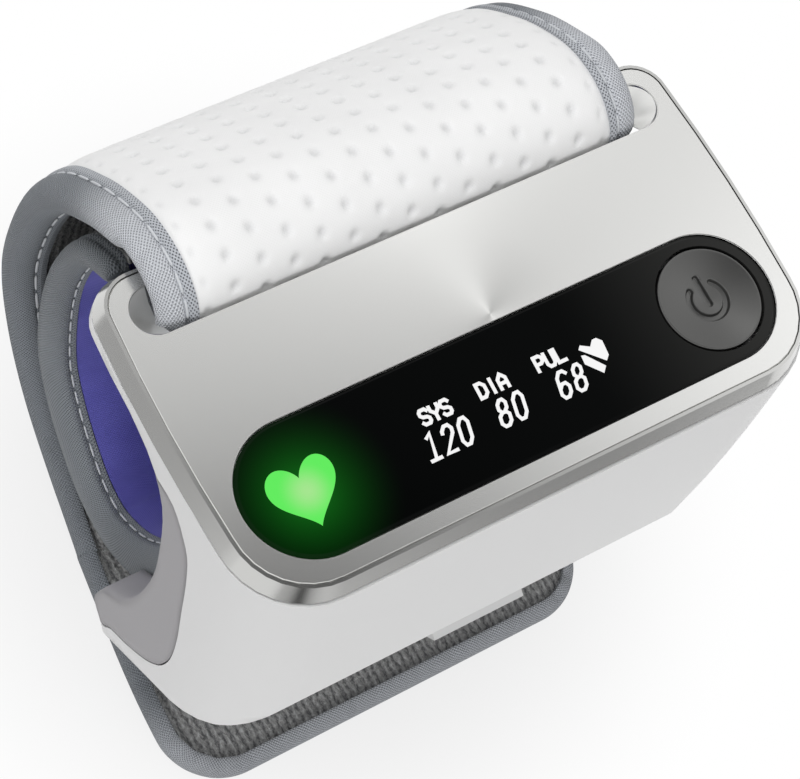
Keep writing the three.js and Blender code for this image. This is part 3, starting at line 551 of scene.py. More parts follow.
@dataclass(frozen=True)
class SpunMetal(Finish):
    """Aluminium faced on a lathe: fine rings round one centre stretch its highlight to a fan.

    The rings are deepest at the centre, so the stretch falls off over the fade distance.
    """

    centre: Pair = (2.1, 9.4)
    ring: float = 0.12
    stretch: float = 0.93
    stretch_far: float = 0.4
    ring_strength: float = 0.6
    fade: float = 11.0

    def pattern(self, graph: Graph) -> None:
        """Adds the turning rings and the direction in which they spread the light.

        Rings spread it across themselves, so the direction at a point is the one from the centre
        to it. The rings are noise read along the distance from the centre only.

        Args:
            graph: the material's nodes.
        """
        arm = graph.vector("SUBTRACT", graph.place(), hub(self.centre))
        flat = graph.vector("MULTIPLY", arm, (1.0, 1.0, 0.0))
        reach = graph.vector("LENGTH", flat, output="Value")
        inputs = {"W": reach, "Scale": 1 / (self.ring * MM), "Detail": 2.0}
        rings = graph.add("TexNoise", inputs, noise_dimensions="1D")
        graph.bump(rings, self.depth, self.ring_strength)
        graph.surface("Tangent", graph.vector("NORMALIZE", flat))
        far = self.stretch * self.stretch_far
        spread = graph.ramp(reach, 0.0, self.fade * MM, self.stretch, far)
        graph.surface("Anisotropic", spread)
        self.mottled(graph, rings)


@dataclass(frozen=True)
class GlowingGlass(Finish):
    """Black acrylic over the displays: the lit heart shines green into it and fades with distance.

    Its colour is painted a little greyer toward the button: a painted reflection.
    """

    centre: Pair = (-28.8, -0.7)
    near: float = 2.5
    spread: float = 12.0
    falloff: float = 2.4
    glow: str = "#0a5510"
    grey: str = "#2e2e2d"
    reflection_from: float = 8.0
    reflection_to: float = 38.0

    def pattern(self, graph: Graph) -> None:
        """Adds the glow: its strength is a power of what is left of the way out.

        Args:
            graph: the material's nodes.
        """
        left = graph.ramp(graph.distance(self.centre), self.near * MM, self.spread * MM, 1.0, 0.0)
        fall = graph.math("POWER", left, self.falloff)
        graph.surface("Emission Color", graph.mix(fall, (0, 0, 0, 1), linear(self.glow)))
        graph.surface("Emission Strength", 1.0)
        # painted reflection: the base colour turns greyer toward the button
        across, _ = graph.axes(graph.place())
        toward = graph.ramp(across, self.reflection_from * MM, self.reflection_to * MM, kind="SMOOTHSTEP")
        graph.surface("Base Color", graph.mix(toward, linear(self.colour), linear(self.grey)))


@dataclass(frozen=True)
class LitShape(Finish):
    """A lit mark behind the glass: its own colour, a little paler toward a centre."""

    centre: Pair = (0.0, 0.0)
    heart: str = "#ffffff"
    spread: float = 3.0
    strength: float = 0.93

    def pattern(self, graph: Graph) -> None:
        """Adds the light, mixed from the pale middle to the colour at the rim.

        Args:
            graph: the material's nodes.
        """
        rim = graph.ramp(graph.distance(self.centre), 0.0, self.spread * MM, kind="SMOOTHSTEP")
        graph.surface("Base Color", (0.0, 0.0, 0.0, 1.0))
        graph.surface("Emission Color", graph.mix(rim, linear(self.heart), linear(self.colour)))
        graph.surface("Emission Strength", self.strength)


@dataclass(frozen=True)
class Weave(Finish):
    """Woven or knitted cloth on the piece's own pattern places.

    Its yarns run on both diagonals, and a staggered mesh of holes takes over where the
    attribute mesh is 1; the holes and the gaps between the yarns are painted dark as shade.
    The attribute light mixes toward the paler colour: paler yarn, and on the binding near the
    slot a painted highlight.
    """

    pale: str = "#b9bcc4"
    hole_shade: str = "#3f434a"
    rib: float = 0.46
    hole_pitch: float = 0.46
    hole_depth: float = -2.2
    hole_edges: Pair = (0.15, 0.75)
    gap_edge: float = -1.5
    gap_shade: float = 0.72
    second_yarn: float = 0.75
    wander: float = 0.7
    wander_scale: float = 0.35
    cloud: float = 0.12

    def pattern(self, graph: Graph) -> None:
        """Adds the yarns: a sine along each diagonal, and a product of two sines for the holes.

        Args:
            graph: the material's nodes.
        """
        cloth = graph.cloth()
        x, y = graph.axes(cloth)
        mesh = graph.attribute("mesh")
        noise = graph.noise(cloth, self.wander_scale, 2.0)
        along = graph.math("MULTIPLY_ADD", noise, self.wander, y)
        rib = graph.wave(graph.math("ADD", along, x), self.rib)
        yarn = graph.wave(graph.math("SUBTRACT", along, x), self.rib)
        weave = graph.math("MULTIPLY_ADD", yarn, self.second_yarn, rib)
        both = graph.math("MULTIPLY", *(graph.wave(axis, self.hole_pitch) for axis in (x, y)))
        holes = graph.ramp(both, *self.hole_edges, kind="SMOOTHSTEP")
        deep = graph.math("MULTIPLY", holes, mesh)
        ribbed = graph.math("MULTIPLY", weave, graph.math("SUBTRACT", 1.0, mesh))
        graph.bump(graph.math("MULTIPLY_ADD", deep, self.hole_depth, ribbed), self.depth)
        body = graph.mix(graph.attribute("light"), linear(self.colour), linear(self.pale))
        # painted shade: the gaps between yarns and the holes darken toward the hole shade colour
        gap = graph.ramp(ribbed, 0.0, self.gap_edge, 0.0, self.gap_shade)
        yarns = graph.mix(graph.math("MAXIMUM", gap, deep), body, linear(self.hole_shade))
        cloud = graph.noise(cloth, self.cloud, 3.0)
        tone = graph.ramp(cloud, start=1 - self.mottle, end=1 + self.mottle)
        graph.surface("Base Color", graph.scaled(yarns, tone))


@dataclass(frozen=True)
class LoopPile(Finish):
    """Brushed loop knit that a hook patch grips: dark marled ribs with paler flecks of yarn."""

    fleck: str = "#d2d3d4"
    shadow: str = "#68696b"
    rib: float = 1.1
    rib_height: float = 0.5
    wander: float = 1.1
    wander_scale: float = 0.9
    stretched: Triple = (3.2, 1.5, 1.0)
    fleck_roughness: float = 0.65
    fleck_edges: Pair = (0.38, 0.62)
    valley: Pair = (-0.3, 0.7)
    crown: Pair = (0.85, 1.4)

    def pattern(self, graph: Graph) -> None:
        """Adds the ribs, a sine bent by noise, and the flecks, noise stretched along the ribs.

        Args:
            graph: the material's nodes.
        """
        cloth = graph.cloth()
        across, _ = graph.axes(cloth)
        noise = graph.noise(cloth, self.wander_scale, 2.0)
        rib = graph.wave(graph.math("MULTIPLY_ADD", noise, self.wander, across), self.rib)
        long = graph.vector("MULTIPLY", cloth, self.stretched)
        flecks = graph.noise(long, 1.0, 3.0, Roughness=self.fleck_roughness)
        flecks = graph.ramp(flecks, *self.fleck_edges)
        height = graph.math("MULTIPLY_ADD", rib, self.rib_height, flecks)
        graph.bump(height, self.depth)
        valley, crown = graph.ramp(height, *self.valley), graph.ramp(height, *self.crown)
        body = graph.mix(valley, linear(self.shadow), linear(self.colour))
        graph.surface("Base Color", graph.mix(crown, body, linear(self.fleck)))


@dataclass(frozen=True)
class FineKnit(Finish):
    """A close, soft knit whose stitches are a fraction of a millimetre."""

    stitch: float = 0.45
    low: str = "#3f3e86"
    pit: str = "#3f3e86"
    dent_shade_share: float = 0.3
    stitch_share: float = 0.12
    cloud: float = 0.09
    cloud_edges: Pair = (0.3, 0.7)

    def pattern(self, graph: Graph) -> None:
        """Adds the stitches, the product of two sines, a wide change of colour, and painted shade
        in the dents.

        Args:
            graph: the material's nodes.
        """
        cloth = graph.cloth()
        turn = graph.scaled(cloth, FULL_TURN / self.stitch)
        both = graph.math("MULTIPLY", *graph.axes(graph.vector("SINE", turn)))
        graph.bump(both, self.depth)
        cloud = graph.noise(cloth, self.cloud, 3.0)
        fine = graph.math("MULTIPLY_ADD", both, self.stitch_share, cloud)
        pick = graph.ramp(fine, *self.cloud_edges)
        tint = graph.mix(pick, linear(self.low), linear(self.colour))
        # painted shade: the colour darkens toward the dent shade colour in the quilting dents
        share = graph.math("MULTIPLY", graph.attribute("pit"), self.dent_shade_share)
        graph.surface("Base Color", graph.mix(share, tint, linear(self.pit)))


# Aluminium: spun rings give a fan of light; satin-blasted trim is duller and a little darker.
METAL = {"metallic": 1.0, "depth": 0.002}
PLATE = SpunMetal("aluminium_spun_plate", "#ebebe9", roughness=0.2, mottle=0.03, **METAL)
TRIM = Finish("aluminium_satin_trim", "#cdcdcb", roughness=0.15, grain=0.15, **METAL)
SLEEVE = Finish("aluminium_polished_sleeve", "#e6e6e4", roughness=0.32, grain=0.5, **METAL)
DISH = Finish("aluminium_satin_dish", "#efefed", roughness=0.34, metallic=0.8, grain=0.5,
              depth=0.002)
# Acrylic window, printed black from behind: hardly any colour, a clean gloss.
LENS = GlowingGlass("acrylic_black_window", "#020303", roughness=0.06, ior=1.49, specular=0.05)
# Moulded shells: white gloss ABS with a soft highlight, grey satin ABS on the wrist side.
WHITE_ABS = Finish("abs_gloss_white", "#e8e8e8", roughness=0.3, coat=0.1, specular=0.35,
                   grain=0.6, depth=0.0015, mottle=0.01)
GREY_ABS = Finish("abs_satin_grey", "#a3a1a4", roughness=0.46, grain=0.25, depth=0.006, edge=1.8)
BUTTON_ABS = SpunMetal("abs_metallised_dark_button", "#666665", roughness=0.3, metallic=0.85,
                       mottle=0.02, depth=0.001, centre=(28.3, 0.0), stretch=0.5, fade=7.0)
DARK_ABS = Finish("abs_matt_dark", "#2a2b2e", roughness=0.6, depth=0.008)
STEEL = Finish("steel_nickel_plated", "#b8babd", roughness=0.24, metallic=1.0, grain=0.2,
               depth=0.003)
FOIL = Finish("battery_foil_pouch", "#b8babd", roughness=0.34, metallic=1.0, grain=1.6, depth=0.05)
BOARD = Finish("glass_epoxy_green_mask", "#1f6b3a", roughness=0.42, coat=0.3, grain=0.3,
               depth=0.006)
GUIDE = Finish("polycarbonate_green_guide", "#63f070", roughness=0.2, grain=0.5, depth=0.002)
SILICONE = Finish("silicone_hose_clear_white", "#d9dadb", roughness=0.4, grain=0.5, depth=0.004)
CURLER = Finish("polypropylene_curler", "#9c9a9d", roughness=0.4, grain=0.3, depth=0.006)
BLADDER = Finish("rubber_bladder_sheet", "#2a2b2e", roughness=0.55, grain=0.3, depth=0.01)
# Lit marks: the organic display's white, the pulse lamp's green.
DIGITS = LitShape("display_lit_white", "#fbfbfb")
PULSE = LitShape("lamp_lit_green", "#5cf058", centre=(-28.6, -0.4), heart="#a5ea8e", spread=3.6)
# Cloths: grey woven binding tape, dark loop knit, violet lining knit, white laminated face.
TAPE = {"roughness": 0.85, "depth": 0.05, "mottle": 0.05, "sheen": 0.15}
BINDING = Weave("polyester_woven_binding", "#868b91", pale="#d9dce2", **TAPE)
PIPING = Weave("polyester_knit_piping", "#84898e", pale="#a4aab0", rib=0.56, **TAPE)
LOOP = LoopPile("polyamide_loop_knit", "#b2b2b2", roughness=0.95, depth=0.18, sheen=0.2)
LINING = FineKnit("polyester_violet_lining", "#6a68c0", low="#5654a8", roughness=0.8, depth=0.03,
                  sheen=0.25)
# The white face's colour is darkened in its dents: painted shade.
FACE = FineKnit("laminated_white_face", "#f4f4f4", low="#efefef", roughness=0.5, depth=0.006,
                stitch=0.4, sheen=0.05, pit="#8f9194")
THREAD = Finish("polyester_stitch_thread", "#d3d6da", roughness=0.7, grain=0.12, depth=0.03)
THREAD_GREY = Finish("polyester_stitch_thread_grey", "#9da1a6", roughness=0.75, grain=0.12,
                     depth=0.03)
HOOKS = Finish("polyamide_hook_tape", "#2a2b2e", roughness=0.7, grain=0.5, depth=0.25)

SLOT_FINISHES: dict[str, Finish] = {
    "plate_metal": PLATE, "trim_metal": TRIM, "black_lens": LENS, "button_plastic": BUTTON_ABS,
    "dark_plastic": DARK_ABS, "bright_metal": STEEL, "green_light": GUIDE, "board": BOARD,
    "white_plastic": WHITE_ABS, "grey_plastic": GREY_ABS, "battery_foil": FOIL,
    "hose_rubber": SILICONE, "curler_plastic": CURLER, "bladder_rubber": BLADDER,
    "lining_fabric": LINING, "loop_fabric": LOOP, "binding_fabric": BINDING,
    "white_fabric": FACE, "hook_fabric": HOOKS,
}


@cache
def material_of(finish: Finish) -> bpy.types.Material:
    """The material of a finish, made once."""
    return finish.make()


def paint(piece: Piece, material: bpy.types.Material) -> None:
    """Makes a material the only one of a piece."""
    piece.data.materials.clear()
    piece.data.materials.append(material)


def dress(piece: Piece, finish: Finish, body: Body = Body.MONITOR) -> Piece:
    """Gives a piece its finish and its body, and reports it.

    Args:
        piece: the object to dress.
        finish: its finish.
        body: the body that it rides on.

    Returns:
        The same object.
    """
    paint(piece, material_of(finish))
    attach(piece, body.value)
    LOG.info("%s: %d faces on %s", piece.name, len(piece.data.polygons), body.value)
    return piece


# ---------------------------------------------------------------- studio


@dataclass(frozen=True)
class Patch:
    """A bell of tone on a card: its middle, its reach in x and in y, and the tone it adds."""

    x: float
    y: float
    reach_x: float
    reach_y: float
    tone: float


@dataclass(frozen=True)
class Card:
    """A level card that only mirrors see: its name, corners, height, base tone and patches."""

    name: str
    low: Pair
    high: Pair
    level: float
    base: float
    patches: tuple[Patch, ...]
    points: int = 90


DARK_CORNER = Patch(0.1, 0.005, 0.12, 0.09, -1.3)
BRIGHT_RIGHT = Patch(0.43, 0.05, 0.12, 0.1, 0.75)
FAN = Patch(0.275, 0.245, 0.06, 0.055, 2.3)
STRIPE = Patch(-0.06, -0.12, 0.014, 0.1, -0.5)
GLEAM = Patch(-0.015, -0.12, 0.02, 0.1, 0.2)
DULL_FRONT = Patch(0.055, -0.1, 0.035, 0.1, -0.22)
LEFT_EDGE = Patch(-0.14, -0.03, 0.1, 0.03, 0.4)


@dataclass
class Studio:
    """The camera, the white room, the soft boxes, the cards that the metal mirrors, the floor.

    All of it is in metres of the row frame. A lamp has a name, a place, a side and a power.
    """

    place: Triple = (-0.1429, -0.08305, 0.3488)
    right: Triple = (0.82700, -0.49626, 0.26420)
    up: Triple = (0.37917, 0.83931, 0.38960)
    back: Triple = (-0.41508, -0.22202, 0.88228)
    lens: float = 125.3
    sensor: float = 36.0
    clip: float = 0.01
    ambient: float = 0.45
    aim: Triple = (0, 0, 0.04)
    lamps: tuple[tuple[str, Triple, float, float], ...] = (
        ("soft_box_front", (-0.55, -0.7, 0.3), 0.4, 2.5),
        ("soft_box_above", (-0.1, 0.3, 0.9), 0.5, 4.4),
    )
    cards: tuple[Card, ...] = (
        Card("card_above", (-0.25, -0.45), (0.75, 0.85), 0.57, 0.68,
             (DARK_CORNER, BRIGHT_RIGHT, FAN)),
        Card("card_low", (-0.1, -0.15), (0.16, -0.088), 0.0012, 0.55,
             (STRIPE, GLEAM, DULL_FRONT)),
        Card("card_left", (-0.2, -0.03), (-0.112, 0.1), 0.0012, 0.5, (LEFT_EDGE,)),
    )
    floor_half: float = 1600.0
    floor_gap: float = 0.02
    floor_colour: str = "#bcbcbc"
    floor_white: float = 0.8
    floor_near: float = 0.03
    floor_far: float = 0.07

    def camera(self) -> None:
        """Makes the camera from its place and its three axes, as solved from the photograph."""
        data = bpy.data.cameras.new("view")
        data.sensor_width = self.sensor
        data.lens = self.lens
        data.clip_start = self.clip
        camera = bpy.data.objects.new("view", data)
        turn = Matrix([self.right, self.up, self.back]).transposed()
        camera.matrix_world = Matrix.Translation(self.place) @ turn.to_4x4()
        bpy.context.scene.collection.objects.link(camera)
        bpy.context.scene.camera = camera

    def room(self) -> None:
        """Makes the world: white where it is seen, mirrored or looked through, grey as a light."""
        world = bpy.data.worlds.new("room")
        bpy.context.scene.world = world
        world.use_nodes = True
        graph = Graph(world.node_tree)
        graph.tree.nodes.clear()
        light = graph.add("Background", {"Color": (1, 1, 1, 1), "Strength": self.ambient})
        white = graph.add("Background", {"Color": (1, 1, 1, 1), "Strength": 1.0})
        seen = graph.seen("Is Transmission Ray")
        mix = graph.add("MixShader", {0: seen, 1: light, 2: white})
        add_node(graph.tree, "OutputWorld", {"Surface": mix})

    def lamp(self, name: str, place: Triple, size: float, power: float) -> None:
        """Adds a square soft box that faces the object and that no mirror sees.

        Args:
            name: the lamp's name.
            place: where it stands.
            size: its side.
            power: its power in watts.
        """
        data = bpy.data.lights.new(name, "AREA")
        data.size = size
        data.energy = power
        lamp = bpy.data.objects.new(name, data)
        aim = Vector(self.aim) - Vector(place)
        lamp.rotation_euler = aim.to_track_quat("-Z", "Y").to_euler()
        lamp.location = place
        lamp.visible_glossy = False
        bpy.context.scene.collection.objects.link(lamp)

    def card(self, card: Card) -> None:
        """Adds a card, shaded like a softbox cluster over the metal.

        Its tone is a base plus a bell for each patch, which falls with the square of the distance
        from the patch's middle as a share of its reach in x and in y.

        Args:
            card: its size, height and tones.
        """
        sides = [np.linspace(card.low[k], card.high[k], card.points) for k in (0, 1)]
        x, y = np.meshgrid(*sides, indexing="xy")
        tone = np.full_like(x, card.base)
        for patch in card.patches:
            dx, dy = (x - patch.x) / patch.reach_x, (y - patch.y) / patch.reach_y
            tone += patch.tone * np.exp(-(dx**2) - dy**2)
        points = np.stack([x, y, np.full_like(x, card.level)], axis=-1)
        skin = Skin()
        skin.grid(points / MM - ORIGIN, shades={"tone": np.maximum(tone, 0)})
        piece = skin.make(card.name)
        material, graph = new_material(card.name + "_paper")
        graph.tree.nodes.clear()
        inputs = {"Color": (1, 1, 1, 1), "Strength": graph.attribute("tone")}
        add_node(graph.tree, "OutputMaterial", {"Surface": graph.add("Emission", inputs)})
        paint(piece, material)
        piece.visible_camera = False
        piece.visible_diffuse = False
        piece.visible_shadow = False
        piece.visible_transmission = False

    def floor(self) -> None:
        """Makes the pale floor, which keeps the shadow near the object and turns white further
        out."""
        steps = np.linspace(-self.floor_half, self.floor_half, 9)
        flat = np.stack(np.meshgrid(steps, steps, indexing="xy"), axis=-1)
        skin = Skin()
        skin.grid(at_height(flat, TABLE - self.floor_gap))
        floor = skin.make("floor")
        material, graph = new_material("paper_white_floor")
        graph.surface("Base Color", linear(self.floor_colour))
        graph.surface("Roughness", 0.9)
        graph.surface("Specular IOR Level", 0.0)
        out = graph.vector("LENGTH", graph.place(), output="Value")
        far = graph.ramp(out, self.floor_near, self.floor_far, self.floor_white, 1.0, "SMOOTHSTEP")
        share = graph.math("MULTIPLY", far, graph.seen())
        white = graph.add("Emission", {"Color": (1, 1, 1, 1), "Strength": 1.0})
        nodes = graph.tree.nodes
        shader = nodes["Principled BSDF"].outputs[0]
        mix = graph.add("MixShader", {0: share, 1: shader, 2: white})
        feed(graph.tree, nodes["Material Output"].inputs["Surface"], mix)
        paint(floor, material)

    def build(self) -> None:
        """Sets up the whole studio."""
        bpy.context.scene.view_settings.view_transform = "Standard"
        self.camera()
        self.room()
        self.floor()
        for lamp in self.lamps:
            self.lamp(*lamp)
        for card in self.cards:
            self.card(card)


# ---------------------------------------------------------------- housing


@dataclass
class Housing:
    """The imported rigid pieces: their finishes, smooth copies of the shells, the slot's sleeve."""

    slot_half: float = 33.55
    slot_front: float = 22.5
    slot_back: float = 28.8
    sleeve_top: float = -0.06
    sleeve_depth: float = 5.0
    sleeve_wall: float = 0.12
    strap_edges: Pair = (33.3, 32.6)
    dish_top: float = -0.1
    dish_depth: float = 1.7
    dish_wall: float = 0.1
    dish_gap: float = 0.02
    dish_floor: float = 0.03
    window_half: float = 28.3
    window_radius: float = 8.5
    chamfer_out: float = 0.14
    chamfer_in: float = 0.03
    chamfer_levels: tuple[float, ...] = (0.006, -0.16, -0.3, -0.02)
    rim_step: float = 0.2
    shell_angle: float = 32
    arc_points: int = 33
    bowl_points: int = 17
    hook_middle: float = -48.0
    hook_reach: float = 3.6
    hook_fill: float = 1.9
    hook_cut: float = 2.4
    hook_foot: Pair = (52.0, 55.5)
    hook_back: Pair = (3.0, 9.0)

    @property
    def slot_radius(self) -> float:
        """The radius of the slot's ends."""
        return (self.slot_back - self.slot_front) / 2

    @property
    def slot_middle(self) -> float:
        """The place of the slot's middle line in Y."""
        return (self.slot_back + self.slot_front) / 2

    def smooth_copy(self, node: str, finish: Finish,
                    reshape: Callable[[Array, Array], Array]) -> None:
        """Makes a welded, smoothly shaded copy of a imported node, which stands for it.

        Args:
            node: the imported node.
            finish: its finish.
            reshape: gives the new places from the places and the normals.
        """
        mesh = frame["nodes"][node].data.copy()
        mesh.name = node + "_smooth"
        piece = bpy.data.objects.new(node + "_smooth", mesh)
        bpy.context.scene.collection.objects.link(piece)
        if "custom_normal" in mesh.attributes:
            mesh.attributes.remove(mesh.attributes["custom_normal"])
        tidy_mesh(mesh, True, self.shell_angle)
        flat, facing = (np.empty(len(mesh.vertices) * 3) for _ in range(2))
        mesh.vertices.foreach_get("co", flat)
        mesh.vertices.foreach_get("normal", facing)
        places = reshape(flat.reshape(-1, 3) / MM - ORIGIN, facing.reshape(-1, 3))
        mesh.vertices.foreach_set("co", to_row(places).ravel())
        mesh.update()
        dress(piece, finish)
        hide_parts(node)

    def close_rim(self, places: Array, facing: Array) -> Array:
        """Moves the trim's inner top edge toward the plate, so that only a fine gap is left.

        Args:
            places: the points.
            facing: their normals.

        Returns:
            The new places.
        """
        size = np.linalg.norm(facing[:, :2], axis=1, keepdims=True)
        level = facing[:, :2] / np.maximum(size, 1e-9)
        centre = np.array([0.0, (self.slot_back - self.window_radius) / 2])
        inward = np.einsum("ij,ij->i", level, centre - places[:, :2]) > 0
        top = places[:, 2] > places[:, 2].max() - 0.01
        moved = places.copy()
        moved[:, :2] += level * (top & inward)[:, None] * self.rim_step
        return moved

    def shape_hook(self, places: Array, _facing: Array) -> Array:
        """Fills the hook's back below the cuff and cuts its tip back at the foot.

        The back moves out by a bell over the height. Below the tip it moves in by a smooth step.

        Args:
            places: the points.
            _facing: their normals, which it doesn't need.

        Returns:
            The new places.
        """
        y, z = places[:, 1], places[:, 2]
        back = smoothstep(y, *self.hook_back)
        fill = self.hook_fill * np.exp(-(((z - self.hook_middle) / self.hook_reach) ** 2))
        cut = self.hook_cut * smoothstep(-z, *self.hook_foot)
        moved = places.copy()
        moved[:, 1] += back * (fill - cut)
        return moved

    def pill(self, half: float, middle: float, radius: float) -> Array:
        """A line round a pill: two straight sides joined by half circles.

        Args:
            half: half the length of the straight sides.
            middle: the place of its middle line in Y.
            radius: the radius of its ends.

        Returns:
            The points, with x and y.
        """
        turn = np.linspace(-QUARTER, QUARTER, self.arc_points)
        right = np.stack([half + radius * np.cos(turn), middle + radius * np.sin(turn)], axis=1)
        left = np.stack([-half - radius * np.cos(turn), middle - radius * np.sin(turn)], axis=1)
        return np.concatenate([right, left])

    def band(self, name: str, levels: list[tuple[Array, float]]) -> None:
        """Makes a closed metal band.

        Args:
            name: the piece's name.
            levels: lines round the same middle, each with its height, in the order in which the
                band's section passes them.
        """
        rings = [np.column_stack([ring, np.full(len(ring), z)]) for ring, z in levels]
        rings = np.stack(rings, axis=1)
        skin = Skin()
        skin.grid(np.concatenate([rings, rings[:1]]), around=True)
        dress(skin.make(name, weld=True, sharp=40), SLEEVE)

    def sleeve(self) -> None:
        """The bright metal sleeve of the strap slot, which hangs straight down from the plate."""
        line, inward = (self.pill(self.slot_half, self.slot_middle, self.slot_radius - wall)
                        for wall in (0.0, self.sleeve_wall))
        top, bottom = self.sleeve_top, -self.sleeve_depth
        levels = [(line, top), (inward, top), (inward, bottom), (line, bottom)]
        self.band("slot_sleeve", levels)

    def window_rim(self) -> None:
        """The bright chamfer round the plate's window: it falls as far as it goes inward."""
        outer, inner, under = (self.pill(self.window_half, 0.0, self.window_radius + more)
                               for more in (self.chamfer_out, -self.chamfer_in, 0.0))
        levels = zip((outer, inner, under, outer), self.chamfer_levels)
        self.band("window_chamfer", list(levels))

    def slot_end(self, side: int, name: str) -> None:
        """The dished end of the slot beside the strap, on the left (-1) or the right (1).

        It is half of a shallow bowl: its reach falls evenly, and its depth follows a sine.

        Args:
            side: which end.
            name: the piece's name.
        """
        radius = self.slot_radius - self.sleeve_wall - self.dish_gap
        start = self.strap_edges[0 if side < 0 else 1]
        reach = self.slot_half + radius - start
        turn = np.linspace(-QUARTER, QUARTER, self.arc_points)[:, None]
        down = np.linspace(0, 1, self.bowl_points)[None, :]
        left = 1 - (1 - self.dish_floor) * down
        x = side * (start + reach * np.cos(turn) * left)
        y = self.slot_middle + radius * np.sin(turn) * left
        z = np.broadcast_to(self.dish_top - self.dish_depth * np.sin(down * QUARTER), x.shape)
        inner = np.stack([x, y, z], axis=-1)
        outer = inner + np.array([0.0, 0.0, -self.dish_wall])
        skin = Skin()
        skin.slab(inner, outer, np.zeros((*x.shape, 2)))
        dress(skin.make(name, weld=True, sharp=50), DISH)

    def build(self) -> None:
        """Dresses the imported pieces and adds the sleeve, the chamfer and the slot's ends."""
        for part in frame["record"]["subparts"]:
            finish = SLOT_FINISHES[part["material_slot"]]
            paint(frame["nodes"][part["node"]], material_of(finish))
        self.smooth_copy("front_shell", WHITE_ABS, self.shape_hook)
        self.smooth_copy("wrist_cover", GREY_ABS, self.shape_hook)
        self.smooth_copy("side_trim", TRIM, self.close_rim)
        self.sleeve()
        self.window_rim()
        self.slot_end(-1, "slot_end_left")
        self.slot_end(1, "slot_end_right")


# ---------------------------------------------------------------- display


@dataclass(frozen=True)
class Lettering:
    """One style of characters.

    It has the width and height of the centre lines, the pitch, the base line's height, how far a
    millimetre of height moves a point to the right, and the width of the strokes.
    """

    size: Pair
    pitch: float
    low: float
    lean: float
    stroke: float


GLYPHS: dict[str, list[list[Pair]]] = {
    "0": [[(0.3, 0), (0.7, 0), (1, 0.2), (1, 0.8), (0.7, 1), (0.3, 1), (0, 0.8), (0, 0.2),
           (0.3, 0)]],
    "1": [[(0.1, 0.86), (0.5, 1), (0.5, 0.02)], [(0, 0), (1, 0)]],
    "2": [[(0, 0.76), (0, 0.84), (0.3, 1), (0.7, 1), (1, 0.84), (1, 0.66), (0, 0), (1, 0)]],
    "6": [[(1, 0.88), (0.7, 1), (0.3, 1), (0, 0.8), (0, 0.16), (0.3, 0), (0.7, 0), (1, 0.16),
           (1, 0.38), (0.7, 0.54), (0.3, 0.54), (0.06, 0.4)]],
    "8": [[(0.3, 0), (0.7, 0), (1, 0.14), (1, 0.4), (0.7, 0.52), (0.3, 0.52), (0, 0.4), (0, 0.14),
           (0.3, 0)],
          [(0.3, 0.56), (0.08, 0.66), (0.08, 0.86), (0.34, 1), (0.66, 1), (0.92, 0.86),
           (0.92, 0.66), (0.7, 0.56)]],
    "S": [[(1, 0.86), (0.8, 1), (0.2, 1), (0, 0.86), (0, 0.66), (0.25, 0.52), (0.75, 0.46),
           (1, 0.34), (1, 0.14), (0.8, 0), (0.2, 0), (0, 0.14)]],
    "Y": [[(0, 1), (0, 0.7), (0.5, 0.42), (0.5, 0)], [(1, 1), (1, 0.7), (0.56, 0.44)]],
    "D": [[(0, 0), (0.6, 0), (1, 0.24), (1, 0.76), (0.6, 1), (0, 1), (0, 0)]],
    "I": [[(0.5, 0), (0.5, 1)]],
    "A": [[(0, 0), (0, 0.68), (0.5, 1), (1, 0.68), (1, 0)], [(0.1, 0.36), (0.9, 0.36)]],
    "P": [[(0, 0), (0, 1), (0.7, 1), (1, 0.86), (1, 0.6), (0.7, 0.46), (0.1, 0.46)]],
    "U": [[(0, 1), (0, 0.2), (0.25, 0), (0.75, 0), (1, 0.2), (1, 1)]],
    "L": [[(0, 1), (0, 0), (1, 0)]],
}
SMALL_HEART: tuple[list[Pair], ...] = (
    [(9.5, 1.05), (9.95, 1.5), (10.95, 0.72), (11.72, 1.5), (12.3, 1.5), (12.85, 0.9),
     (12.62, -0.95), (12.0, -1.5)],
    [(9.4, 0.32), (9.88, 0.2), (11.55, -2.0), (10.85, -2.7), (9.25, -0.8)],
)


